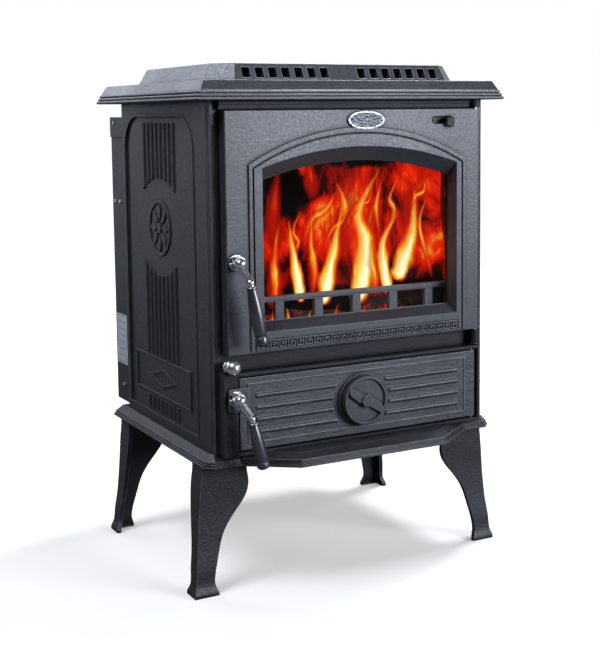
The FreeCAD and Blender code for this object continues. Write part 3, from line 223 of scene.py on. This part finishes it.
def steel(name, dark, light, rough, metal=1.0, streak=True):
    n = Net(name)
    a = n.noise(45, 4.0)
    b = n.noise(1400, 2.0, vec=n.scaled((1, 1, 0.05) if streak else (1, 1, 1)))
    col = n.ramp(a, [(0.35, dark), (0.65, light)])
    round_n, edge = n.edge(0.0006)
    return n.set(Base_Color=col, Metallic=metal, Roughness=n.remap(a, 0.3, 0.7, *rough), Normal=n.bump(b, 0.12, 0.0002, round_n))


M = {}
M["front"] = cast_paint("front_cast_paint", (0.020, 0.022, 0.026), (0.033, 0.036, 0.042), (0.38, 0.47), 0.62, 1.35, 0.70, (0.27, 0.28, 0.31), painted_crevice_shade=0.95)
M["top"] = cast_paint("top_cast_paint", (0.020, 0.022, 0.026), (0.033, 0.036, 0.042), (0.35, 0.43), 0.66, 1.2, 0.80, (0.36, 0.375, 0.41), 0.0018, painted_crevice_shade=0.8, up_faces_lighter=True)
M["base"] = cast_paint("base_cast_paint", (0.010, 0.0105, 0.0115), (0.018, 0.019, 0.021), (0.40, 0.50), 0.42, 2.6, 0.80, (0.26, 0.265, 0.28), 0.0020)
# Darker copy of the front paint for the side panels: painted shade.
M["side"] = cast_paint("side_cast_paint_shaded", (0.012, 0.012, 0.014), (0.021, 0.021, 0.024), (0.36, 0.46), 0.52, 2.8, 0.60, (0.18, 0.185, 0.195))
M["inner"] = cast_paint("inner_cast_iron", (0.036, 0.037, 0.040), (0.060, 0.061, 0.064), (0.46, 0.60), 0.45, 1.2, 0.55, (0.20, 0.20, 0.205))
M["sheet"] = cast_paint("sheet_steel_paint", (0.009, 0.0095, 0.010), (0.015, 0.0155, 0.0165), (0.36, 0.46), 0.42, 0.25, 0.35, (0.14, 0.14, 0.145), 0.0006)
M["rough"] = cast_paint("rough_cast_paint", (0.016, 0.017, 0.020), (0.032, 0.034, 0.039), (0.36, 0.50), 0.64, 3.6, 0.85, (0.32, 0.325, 0.345), 0.0020, painted_crevice_shade=0.9)
# Near-black copy of the front paint for the front frame, standing in for the shade in its recesses: painted shade. The
# air-wash lever uses it as its own black.
M["frame"] = cast_paint("frame_cast_paint_shaded", (0.009, 0.0095, 0.0105), (0.016, 0.017, 0.019), (0.44, 0.52), 0.24, 1.6, 0.55, (0.15, 0.155, 0.17), painted_crevice_shade=0.85)
M["guard"] = cast_paint("guard_cast_iron", (0.075, 0.077, 0.083), (0.115, 0.117, 0.125), (0.44, 0.56), 0.50, 1.0, 0.65, (0.34, 0.34, 0.35))
M["chrome"] = chrome("bright_chrome")
M["ferrule"] = steel("ferrule_nickel", (0.20, 0.20, 0.21), (0.32, 0.32, 0.33), (0.22, 0.34))
M["steel"] = steel("turned_steel", (0.30, 0.30, 0.31), (0.46, 0.46, 0.47), (0.26, 0.42))
M["zinc"] = steel("zinc_screws", (0.50, 0.50, 0.50), (0.72, 0.72, 0.71), (0.24, 0.40), streak=False)

n = Net("grip_black_lacquer")
a = n.noise(300, 2.0)
b = n.noise(28, 3.0)
round_n, edge = n.edge(0.0008)
M["grip"] = n.set(Base_Color=n.ramp(b, [(0.3, (0.016, 0.017, 0.021)), (0.7, (0.034, 0.036, 0.043))]), Roughness=n.remap(b, 0.3, 0.7, 0.26, 0.36),
                  Specular_IOR_Level=0.6, Coat_Weight=0.5, Coat_Roughness=0.18, Normal=n.bump(a, 0.05, 0.0003, round_n))

n = Net("ceramic_glass")
a = n.noise(9, 3.0)
M["glass"] = n.set(Base_Color=n.ramp(a, [(0.3, (0.012, 0.010, 0.009)), (0.7, (0.030, 0.022, 0.016))]), Roughness=n.remap(a, 0.3, 0.7, 0.03, 0.08),
                   Alpha=n.remap(n.noise(6, 3.0), 0.4, 0.7, 0.06, 0.14), Specular_IOR_Level=0.5)
M["glass"].surface_render_method = "BLENDED" if hasattr(M["glass"], "surface_render_method") else M["glass"].surface_render_method

n = Net("rope_seal")
w = n.node("ShaderNodeTexWave", wave_type="BANDS", bands_direction="DIAGONAL")
n.put(w.inputs["Vector"], n.co)
w.inputs["Scale"].default_value = 160
w.inputs["Distortion"].default_value = 2.0
col = n.ramp(w.outputs["Fac"], [(0.0, (0.05, 0.05, 0.05)), (1.0, (0.28, 0.27, 0.25))])
M["rope"] = n.set(Base_Color=col, Roughness=0.9, Normal=n.bump(w.outputs["Fac"], 0.8, 0.0012))

n = Net("fire_brick")
a = n.noise(260, 4.0, 0.65)
b = n.noise(14, 4.0)
sep = n.node("ShaderNodeSeparateXYZ")
n.put(sep.inputs[0], n.co)
soot = n.remap(n.math("ADD", sep.outputs["Z"], n.math("MULTIPLY", b, 0.16)), 0.46, 0.74, 0.0, 0.92)
col = n.ramp(a, [(0.32, (0.24, 0.17, 0.11)), (0.55, (0.42, 0.32, 0.21)), (0.72, (0.56, 0.46, 0.33))])
col = n.mix(soot, col, (0.012, 0.011, 0.010))
M["brick"] = n.set(Base_Color=col, Roughness=0.92, Normal=n.bump(a, 0.8, 0.0016))

n = Net("plain_foil_label")
a = n.noise(120, 2.0)
sep = n.node("ShaderNodeSeparateXYZ")
n.put(sep.inputs[0], n.co)
line = n.math("FRACT", n.math("MULTIPLY", sep.outputs["Z"], 82.0))
panel = n.math("MULTIPLY", n.math("GREATER_THAN", line, 0.86), n.math("LESS_THAN", n.math("ABSOLUTE", n.math("SUBTRACT", sep.outputs["Y"], 0.228)), 0.019))
col = n.mix(panel, n.ramp(a, [(0.3, (0.50, 0.52, 0.54)), (0.7, (0.66, 0.68, 0.70))]), (0.30, 0.31, 0.33))
M["label"] = n.set(Base_Color=col, Metallic=0.35, Roughness=n.remap(a, 0.3, 0.7, 0.30, 0.42))

n = Net("badge_satin_metal")
a = n.noise(500, 3.0, vec=n.scaled((0.2, 1, 1)))
# Darker in the recesses, following ambient occlusion: painted shade.
g = n.crevice(0.004)
col = n.mix(n.remap(g, 0.45, 0.95), (0.02, 0.02, 0.024), n.ramp(a, [(0.3, (0.035, 0.036, 0.040)), (0.7, (0.065, 0.066, 0.073))]))
round_n, edge = n.edge(0.0009)
badge_front = min(v.co.y for v in CAD["oval_badge"].data.vertices)
sep = n.node("ShaderNodeSeparateXYZ")
n.put(sep.inputs[0], n.co)
rim = n.remap(sep.outputs["Y"], badge_front + 0.0010, badge_front + 0.0005, 0.0, 1.0)
pit = n.voronoi(260, "F1")
# Lighter along the edges: painted highlight. The raised front rim is lighter too.
col = n.mix(n.math("MAXIMUM", edge, rim, clamp=True), col, (0.34, 0.35, 0.37))
M["badge"] = n.set(Base_Color=col, Metallic=0.85, Roughness=n.remap(a, 0.3, 0.7, 0.26, 0.36), Normal=n.bump(pit, 0.55, 0.0012, round_n))

by_slot = {"front_paint": "front", "top_paint": "top", "base_paint": "base", "side_paint": "side", "inner_iron": "inner", "sheet_steel": "sheet",
           "bright_chrome": "chrome", "ferrule_metal": "ferrule", "grip_black": "grip", "steel": "steel", "zinc": "zinc", "nut_brass": "steel",
           "ceramic_glass": "glass", "rope_seal": "rope", "fire_brick": "brick", "plain_label": "label"}
slot_of = {p["node"]: p.get("material_slot") for p in frame["record"].get("subparts", [])}
for name, obj in CAD.items():
    key = by_slot.get(slot_of.get(name), "front")
    key = {"oval_badge": "badge", "ash_door": "rough", "front_frame": "frame", "log_guard": "guard", "air_wash_lever": "frame"}.get(name, key)
    obj.data.materials.clear()
    obj.data.materials.append(M[key])
    for p in obj.data.polygons:
        p.material_index = 0
        p.use_smooth = True
    if name != "door_glass":
        w = obj.modifiers.new("weld", "WELD")
        w.merge_threshold = 0.00001
        e = obj.modifiers.new("crease", "EDGE_SPLIT")
        e.split_angle = math.radians(32)
        v = obj.modifiers.new("flats", "WEIGHTED_NORMAL")
        v.weight = 90
        v.keep_sharp = True

# ------------------------------------------------------------------ fire: logs, embers and flames behind the glass


def new_piece(name, bm, material, smooth=True):
    me = bpy.data.meshes.new(name)
    bm.normal_update()
    bm.to_mesh(me)
    bm.free()
    ob = bpy.data.objects.new(name, me)
    scene.collection.objects.link(ob)
    me.materials.append(material)
    for p in me.polygons:
        p.use_smooth = smooth
    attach(ob, "root")
    return ob


def tube(bm, path, radii, around, squeeze=(1.0, 1.0), wobble=None, side=Vector((1, 0, 0)), layers=None):
    """Closed skin round a line of points. Returns the rings."""
    rings = []
    k = len(path)
    for i, p in enumerate(path):
        a, b = path[max(i - 1, 0)], path[min(i + 1, k - 1)]
        t = (b - a).normalized()
        s = (side - t * side.dot(t)).normalized()
        c = t.cross(s)
        ring = []
        for j in range(around):
            ang = 2 * math.pi * j / around
            r = radii[i] * (wobble(i / (k - 1), ang) if wobble else 1.0)
            v = bm.verts.new(p + s * (math.cos(ang) * r * squeeze[0]) + c * (math.sin(ang) * r * squeeze[1]))
            if layers:
                v[layers[0]] = math.cos(ang)
                v[layers[1]] = i / (k - 1)
            ring.append(v)
        rings.append(ring)
    for r0, r1 in zip(rings[:-1], rings[1:]):
        for j in range(around):
            bm.faces.new((r0[j], r0[(j + 1) % around], r1[(j + 1) % around], r1[j]))
    bm.faces.new(list(reversed(rings[0])))
    bm.faces.new(rings[-1])
    return rings


# charred bark with glowing cracks
n = Net("charred_log")
v = n.voronoi(150, "DISTANCE_TO_EDGE", n.scaled((1, 1, 1)))
c = n.noise(70, 5.0, 0.6)
g = n.noise(13, 3.0)
crack = n.remap(v, 0.0, 0.07, 0.75, 0.0)
hot = n.math("MULTIPLY", crack, n.remap(g, 0.50, 0.66))
col = n.ramp(c, [(0.3, (0.008, 0.006, 0.005)), (0.62, (0.035, 0.024, 0.018)), (0.8, (0.16, 0.15, 0.145))])
em = n.ramp(hot, [(0.05, (0.0, 0.0, 0.0)), (0.4, (0.40, 0.008, 0.0)), (0.75, (0.90, 0.05, 0.004)), (1.0, (1.0, 0.30, 0.03))])
M["log"] = n.set(Base_Color=col, Roughness=0.95, Emission_Color=em, Emission_Strength=2.6, Normal=n.bump(v, 0.9, 0.004, n.bump(c, 0.6, 0.003)))

n = Net("embers")
v = n.voronoi(70, "F1")
c = n.noise(46, 4.0, 0.6)
g = n.math("ADD", n.math("MULTIPLY", v, 0.9), n.math("MULTIPLY", c, 0.8))
em = n.ramp(g, [(0.50, (0.0, 0.0, 0.0)), (0.66, (0.22, 0.006, 0.0)), (0.80, (0.85, 0.05, 0.0)), (0.93, (1.0, 0.28, 0.02)), (1.0, (1.0, 0.72, 0.22))])
M["ember"] = n.set(Base_Color=n.ramp(c, [(0.3, (0.01, 0.008, 0.007)), (0.75, (0.09, 0.075, 0.065))]), Roughness=0.95, Emission_Color=em, Emission_Strength=3.0,
                   Normal=n.bump(c, 0.7, 0.004))

rnd = random.Random(7)
logs = [((-150, -118, 398), (135, -96, 402), 27), ((-60, -84, 446), (192, -120, 430), 24), ((-188, -60, 420), (40, -30, 410), 29), ((20, -20, 404), (196, 20, 412), 28)]
for k, (a, b, r) in enumerate(logs):
    bm = bmesh.new()
    a, b = Vector(a) * MM, Vector(b) * MM
    steps = 34
    path = [a.lerp(b, i / (steps - 1)) + Vector((0, 0.004 * math.sin(3.1 * i / steps + k), 0.005 * math.sin(4.2 * i / steps + 2 * k))) for i in range(steps)]
    radii = [r * MM * (1.0 - 0.10 * (i / steps)) * (0.86 if i in (0, steps - 1) else 1.0) for i in range(steps)]

    def bark(t, ang, k=k):
        q = Vector((math.cos(ang) * 2.2, math.sin(ang) * 2.2, t * 3.0 + 9 * k))
        ridge = abs(noise.noise(Vector((math.cos(ang) * 5, math.sin(ang) * 5, t * 2.5 + 5 * k))))
        return 1.0 + 0.10 * noise.noise(q) - 0.13 * (1 - min(1.0, ridge * 4)) * 0.6

    tube(bm, path, radii, 40, wobble=bark, side=Vector((0, 1, 0)))
    new_piece("fire_log_%d" % (k + 1), bm, M["log"])

bm = bmesh.new()
for k in range(46):
    x, y = rnd.uniform(-196, 196), rnd.uniform(-160, -20)
    r = rnd.uniform(9, 17)
    q = Matrix.Translation(Vector((x, y, 367.8 + r * 0.72 + rnd.uniform(0, 10))) * MM) @ Matrix.Rotation(rnd.uniform(0, 3), 4, Vector((rnd.random(), rnd.random(), rnd.random())).normalized())
    made = bmesh.ops.create_icosphere(bm, subdivisions=3, radius=r * MM, matrix=Matrix.Identity(4))
    for v in made["verts"]:
        d = v.co.normalized()
        v.co *= 1.0 + 0.28 * noise.noise(d * 1.9 + Vector((k * 3.1, 0, 0))) + 0.07 * noise.noise(d * 6.0)
        v.co.z *= 0.74
        v.co = q @ v.co
new_piece("fire_embers", bm, M["ember"])

# glowing fire curtain behind the tongues
n = Net("fire_curtain")
sep = n.node("ShaderNodeSeparateXYZ")
n.put(sep.inputs[0], n.co)
X, Z = sep.outputs["X"], sep.outputs["Z"]
def blob(x, z, rx, rz):
    """1 at a point of the curtain, falling to 0 at the ellipse round it, in metres."""
    dx = n.math("DIVIDE", n.math("SUBTRACT", X, x), rx)
    dz = n.math("DIVIDE", n.math("SUBTRACT", Z, z), rz)
    rr = n.math("SQRT", n.math("ADD", n.math("MULTIPLY", dx, dx), n.math("MULTIPLY", dz, dz)))
    m = n.node("ShaderNodeMapRange", interpolation_type="SMOOTHSTEP")
    n.put(m.inputs["Value"], rr)
    m.inputs["From Min"].default_value, m.inputs["From Max"].default_value = 1.0, 0.25
    return m.outputs[0]


big = n.noise(1.0, 4.0, 0.60, vec=n.scaled((10.5, 3.0, 5.6)), distort=1.5)
wisp = n.noise(1.0, 5.0, 0.62, vec=n.scaled((34.0, 8.0, 13.0)), distort=2.6)
lick = n.noise(1.0, 3.0, 0.55, vec=n.scaled((52.0, 10.0, 9.0)), distort=1.1)
heat = n.math("ADD", n.math("MULTIPLY", big, 1.40), n.math("MULTIPLY", wisp, 0.64))
heat = n.math("ADD", heat, n.remap(Z, 0.44, 0.55, -0.34, -0.20))
heat = n.math("ADD", heat, n.math("MULTIPLY", lick, 0.20))
heat = n.math("ADD", heat, n.remap(Z, 0.42, 0.69, -0.10, -0.44))
heat = n.math("ADD", heat, n.remap(X, -0.18, 0.16, -0.20, 0.10))
for x, z, rx, rz, amount in ((-0.190, 0.560, 0.055, 0.170, -0.10), (-0.042, 0.628, 0.046, 0.026, -0.75), (0.075, 0.684, 0.110, 0.026, -0.8), (-0.110, 0.672, 0.075, 0.050, -0.7), (0.180, 0.640, 0.055, 0.060, 0.22),
                             (0.060, 0.600, 0.060, 0.055, 0.30), (0.000, 0.560, 0.120, 0.070, 0.24), (0.205, 0.540, 0.032, 0.150, 0.02), (-0.044, 0.675, 0.016, 0.040, 0.55),
                             (-0.010, 0.600, 0.040, 0.030, 0.20), (-0.120, 0.520, 0.030, 0.080, 0.16), (0.155, 0.462, 0.085, 0.055, -0.40), (-0.085, 0.600, 0.060, 0.030, -0.22)):
    heat = n.math("ADD", heat, n.math("MULTIPLY", blob(x, z, rx, rz), amount))
heat = n.math("SUBTRACT", heat, n.remap(Z, 0.468, 0.425, 0.0, 0.9))
em = n.ramp(heat, [(0.38, (0.0, 0.0, 0.0)), (0.50, (0.045, 0.0006, 0.0)), (0.61, (0.26, 0.003, 0.0)), (0.74, (0.66, 0.007, 0.0)), (0.87, (0.92, 0.022, 0.002)), (0.95, (1.0, 0.085, 0.005)), (1.0, (1.0, 0.24, 0.02))])
M["curtain"] = n.set(Base_Color=(0.004, 0.002, 0.002, 1), Roughness=1.0, Specular_IOR_Level=0.0, Emission_Color=em, Emission_Strength=1.0)
M["curtain"].use_fake_user = False

bm = bmesh.new()
cols, rows = 84, 60
grids = []
for face in (0, 1):
    g = []
    for i in range(cols + 1):
        column = []
        for j in range(rows + 1):
            u, t = i / cols, j / rows
            x, z = -204 + 408 * u, 376 + 318 * t
            y = -112 + 9 * math.sin(u * 9.0 + 1.2 * math.sin(t * 3)) + 10 * noise.noise(Vector((u * 7, t * 3.2, 0.3))) + 16 * t - 44 * max(0.0, (abs(u - 0.5) - 0.40) / 0.10) ** 1.5
            column.append(bm.verts.new(Vector((x, y + (0 if face == 0 else 2.0), z)) * MM))
        g.append(column)
    grids.append(g)
f, bk = grids
for i in range(cols):
    for j in range(rows):
        bm.faces.new((f[i][j], f[i + 1][j], f[i + 1][j + 1], f[i][j + 1]))
        bm.faces.new((bk[i][j], bk[i][j + 1], bk[i + 1][j + 1], bk[i + 1][j]))
for j in range(rows):
    bm.faces.new((f[0][j], f[0][j + 1], bk[0][j + 1], bk[0][j]))
    bm.faces.new((f[cols][j], bk[cols][j], bk[cols][j + 1], f[cols][j + 1]))
for i in range(cols):
    bm.faces.new((f[i][0], bk[i][0], bk[i + 1][0], f[i + 1][0]))
    bm.faces.new((f[i][rows], f[i + 1][rows], bk[i + 1][rows], bk[i][rows]))
new_piece("fire_curtain", bm, M["curtain"])


def flame_material(name, core, soft, strength, fade):
    """Tongue of flame: bright along its middle and near its root, soft and clear at its sides and tip."""
    n = Net(name)
    u = n.node("ShaderNodeAttribute", attribute_name="flame_across").outputs["Fac"]
    v = n.node("ShaderNodeAttribute", attribute_name="flame_along").outputs["Fac"]
    streak = n.noise(1.0, 4.0, 0.6, vec=n.scaled((70.0, 14.0, 15.0)), distort=1.4)
    mid = n.math("SUBTRACT", 1.0, n.math("ABSOLUTE", u))
    wob = n.math("SUBTRACT", streak, 0.5)
    shade = n.math("ADD", n.math("MULTIPLY", n.math("POWER", mid, 1.25), 1.0), n.math("MULTIPLY", wob, 0.85))
    hot = n.math("ADD", n.math("SUBTRACT", shade, n.math("MULTIPLY", v, 0.60)), core)
    hot = n.math("SUBTRACT", hot, n.remap(v, 0.0, fade * 2.2, 0.85, 0.0))
    em = n.ramp(hot, [(0.0, (0.50, 0.006, 0.0)), (0.22, (0.95, 0.045, 0.001)), (0.42, (1.0, 0.19, 0.006)), (0.60, (1.0, 0.48, 0.02)), (0.78, (1.0, 0.82, 0.14)), (0.96, (1.0, 0.97, 0.66))])
    tip = n.remap(v, 0.50, 1.0, 1.0, 0.0)
    root = n.remap(v, 0.0, fade, 0.0, 1.0)
    rim = n.remap(n.math("ADD", mid, n.math("MULTIPLY", wob, 0.9)), 0.08, soft, 0.0, 1.0)
    alpha = n.math("MULTIPLY", n.math("MULTIPLY", rim, tip), root, clamp=True)
    m = n.set(Base_Color=(0.004, 0.002, 0.002, 1), Roughness=1.0, Specular_IOR_Level=0.0, Emission_Color=em, Emission_Strength=strength, Alpha=alpha)
    if hasattr(m, "surface_render_method"):
        m.surface_render_method = "BLENDED"
    return m


M["flame_hot"] = flame_material("flame_hot", 0.30, 0.74, 1.2, 0.03)
M["flame_mid"] = flame_material("flame_mid", 0.00, 0.95, 1.05, 0.22)
M["flame_red"] = flame_material("flame_red", -0.42, 1.05, 0.9, 0.25)

# (material, y, root half width, [(x, z), ...] from root to tip), millimetres
tongues = [
    ("mid", -150, 10, [(-122, 440), (-120, 480), (-121, 520), (-112, 585)]),
    ("hot", -152, 6.5, [(-74, 448), (-82, 500), (-88, 535), (-95, 585)]),
    ("mid", -146, 7.5, [(-50, 455), (-47, 500), (-52, 545), (-46, 610)]),
    ("hot", -150, 9, [(-32, 440), (-22, 490), (-8, 540), (4, 604)]),
    ("hot", -148, 13.5, [(34, 438), (48, 490), (50, 545), (38, 590), (84, 668)]),
    ("mid", -153, 9, [(66, 445), (65, 480), (58, 520), (62, 560)]),
    ("hot", -150, 7.0, [(96, 448), (84, 505), (88, 545), (118, 592)]),
    ("hot", -146, 11, [(112, 470), (132, 515), (147, 560), (150, 628)]),
    ("mid", -152, 4.5, [(182, 470), (166, 525), (157, 570), (180, 630)]),
    ("mid", -142, 5.5, [(84, 548), (76, 585), (78, 612), (92, 652)]),
    ("red", -136, 13, [(130, 550), (150, 610), (172, 640), (178, 688)]),
    ("red", -138, 11, [(-112, 520), (-116, 580), (-112, 625), (-104, 672)]),
    ("red", -132, 10, [(-36, 610), (-42, 640), (-45, 665), (-38, 694)]),
    ("mid", -138, 7, [(-62, 548), (-44, 582), (-18, 598), (6, 630)]),
    ("mid", -140, 8, [(2, 560), (14, 590), (14, 612), (-2, 645)]),
    ("red", -134, 17, [(78, 440), (74, 500), (70, 560), (96, 660)]),
    ("mid", -158, 8, [(-160, 430), (-166, 470), (-158, 520), (-166, 590)]),
    ("red", -130, 15, [(20, 500), (8, 560), (30, 610), (18, 690)]),
    ("mid", -141, 5, [(20, 572), (38, 600), (64, 610), (72, 654)]),
    ("hot", -158, 6, [(-158, 394), (-154, 410), (-158, 426), (-150, 452)]),
    ("hot", -158, 4.5, [(-98, 396), (-104, 408), (-100, 420), (-106, 444)]),
    ("hot", -158, 4, [(-66, 394), (-62, 404), (-66, 414), (-60, 436)]),
    ("mid", -158, 7, [(-128, 392), (-124, 408), (-130, 424), (-122, 452)]),
    ("mid", -158, 6.5, [(-12, 392), (-8, 406), (-16, 418), (-6, 444)]),
    ("mid", -158, 5.5, [(36, 392), (32, 404), (38, 416), (30, 438)]),
    ("mid", -143, 5, [(-24, 536), (-8, 566), (12, 578), (30, 624)]),
    ("mid", -141, 5.5, [(98, 556), (112, 588), (104, 614), (126, 652)]),
    ("mid", -143, 4, [(-88, 520), (-74, 545), (-82, 566), (-64, 604)]),
    ("mid", -144, 4.5, [(140, 590), (154, 612), (170, 622), (176, 660)]),
]
layers = {}
for key in ("hot", "mid", "red"):
    bm = bmesh.new()
    lu = bm.verts.layers.float.new("flame_across")
    lv = bm.verts.layers.float.new("flame_along")
    layers[key] = (bm, lu, lv)
for k, (key, y, half, pts) in enumerate(tongues):
    bm, lu, lv = layers[key]
    P = [Vector((x, y, z)) * MM for x, z in pts]
    P = [P[0] * 2 - P[1]] + P + [P[-1] * 2 - P[-2]]
    path = []
    per = 12
    for s in range(1, len(P) - 2):
        for i in range(per):
            t = i / per
            a, b, c, d = P[s - 1], P[s], P[s + 1], P[s + 2]
            path.append(0.5 * ((2 * b) + (c - a) * t + (2 * a - 5 * b + 4 * c - d) * t * t + (3 * b - a - 3 * c + d) * t ** 3))
    path.append(P[-2].copy())
    m = len(path)
    radii = []
    for i in range(m):
        t = i / (m - 1)
        w = (0.55 + 0.65 * math.sin(min(1.0, t / 0.36) * math.pi / 2)) * (1 - t) ** 0.62 + 0.02
        w *= 1.0 + 0.22 * noise.noise(Vector((t * 5.5, k * 4.7, 0.0)))
        radii.append(half * (2.15 if key == "hot" else 1.85) * MM * w)
        path[i] = path[i] + Vector((2.2 * noise.noise(Vector((t * 6.0, k * 2.3, 1.0))) * t, 3.0 * noise.noise(Vector((t * 4.0, k * 5.1, 2.0))), 0)) * MM
    tube(bm, path, radii, 18, squeeze=(1.0, 0.24), side=Vector((1, 0, 0)), layers=(lu, lv))
for key, (bm, lu, lv) in layers.items():
    new_piece("flames_" + key, bm, M["flame_" + key])

# ------------------------------------------------------------------ floor, lights, world
n = Net("pale_floor")
a = n.noise(1.2, 3.0)
n.set(Base_Color=n.ramp(a, [(0.3, (0.80, 0.77, 0.70)), (0.7, (0.82, 0.79, 0.72))]), Roughness=0.9, Specular_IOR_Level=0.1)
# Floor glow is lower near the stove and rises to even white far away: painted shade round the stove.
sep = n.node("ShaderNodeVectorMath", operation="LENGTH")
n.put(sep.inputs[0], n.co)
n.put(n.bsdf.inputs["Emission Color"], n.ramp(n.remap(sep.outputs["Value"], 0.4, 3.4), [(0.0, (0.26, 0.26, 0.26)), (0.35, (0.42, 0.42, 0.42)), (1.0, (1.0, 1.0, 1.0))]))
n.bsdf.inputs["Emission Strength"].default_value = 1.0
dim = n.node("ShaderNodeBsdfDiffuse")
dim.inputs["Color"].default_value = (0.12, 0.12, 0.125, 1)
ray = n.node("ShaderNodeLightPath")
pick = n.node("ShaderNodeMixShader")
out_node = next(x for x in n.nt.nodes if x.type == "OUTPUT_MATERIAL")
n.nt.links.new(ray.outputs["Is Camera Ray"], pick.inputs[0])
n.nt.links.new(dim.outputs[0], pick.inputs[1])
n.nt.links.new(n.bsdf.outputs[0], pick.inputs[2])
n.nt.links.new(pick.outputs[0], out_node.inputs[0])
floor_mat = n.mat
me = bpy.data.meshes.new("floor")
S = 60.0
me.from_pydata([(-S, -S, 0), (S, -S, 0), (S, S, 0), (-S, S, 0)], [], [(0, 1, 2, 3)])
floor = bpy.data.objects.new("floor", me)
scene.collection.objects.link(floor)
me.materials.append(floor_mat)

world = bpy.data.worlds.new("studio")
scene.world = world
world.use_nodes = True
wt = world.node_tree
wt.nodes.clear()
wo = wt.nodes.new("ShaderNodeOutputWorld")
bg_seen = wt.nodes.new("ShaderNodeBackground")
bg_lit = wt.nodes.new("ShaderNodeBackground")
mixer = wt.nodes.new("ShaderNodeMixShader")
lp = wt.nodes.new("ShaderNodeLightPath")
bg_seen.inputs[0].default_value = (1, 1, 1, 1)
bg_seen.inputs[1].default_value = 1.0
bg_lit.inputs[0].default_value = (0.93, 0.96, 1.0, 1)
bg_lit.inputs[1].default_value = 0.10
wt.links.new(lp.outputs["Is Camera Ray"], mixer.inputs[0])
wt.links.new(bg_lit.outputs[0], mixer.inputs[1])
wt.links.new(bg_seen.outputs[0], mixer.inputs[2])
wt.links.new(mixer.outputs[0], wo.inputs[0])


def area(name, at, aim, size, watts, colour=(1, 1, 1)):
    L = bpy.data.lights.new(name, "AREA")
    L.shape = "RECTANGLE"
    L.size, L.size_y = size
    L.energy = watts
    L.color = colour
    o = bpy.data.objects.new(name, L)
    scene.collection.objects.link(o)
    o.location = at
    o.rotation_mode = "QUATERNION"
    o.rotation_quaternion = (Vector(aim) - Vector(at)).to_track_quat("-Z", "Y")
    return o


COOL = (0.81, 0.87, 1.0)
area("front_softbox", (1.75, -3.1, 1.22), (0.0, -0.2, 0.60), (1.9, 1.2), 140, COOL)
area("back_softbox", (-1.1, 3.1, 2.05), (-0.1, 0.0, 0.80), (2.6, 1.2), 30, COOL)
area("top_left_softbox", (-1.9, -0.7, 3.1), (0, 0, 0.6), (1.4, 1.4), 84, COOL)
area("top_right_softbox", (1.38, 0.50, 3.1), (0, -0.1, 0.7), (0.9, 0.7), 92, COOL)
area("right_fill", (3.2, 0.5, 1.5), (0.2, 0, 0.4), (1.6, 1.6), 30, (0.9, 0.95, 1.0))
area("left_back_softbox", (-1.75, 3.1, 0.70), (-0.25, 0.0, 0.50), (1.0, 1.3), 5.5, COOL)
fire = bpy.data.lights.new("fire_glow", "POINT")
fire.energy = 0.35
fire.color = (1.0, 0.36, 0.10)
fire.shadow_soft_size = 0.05
fo = bpy.data.objects.new("fire_glow", fire)
scene.collection.objects.link(fo)
fo.location = (0.03, -0.06, 0.50)
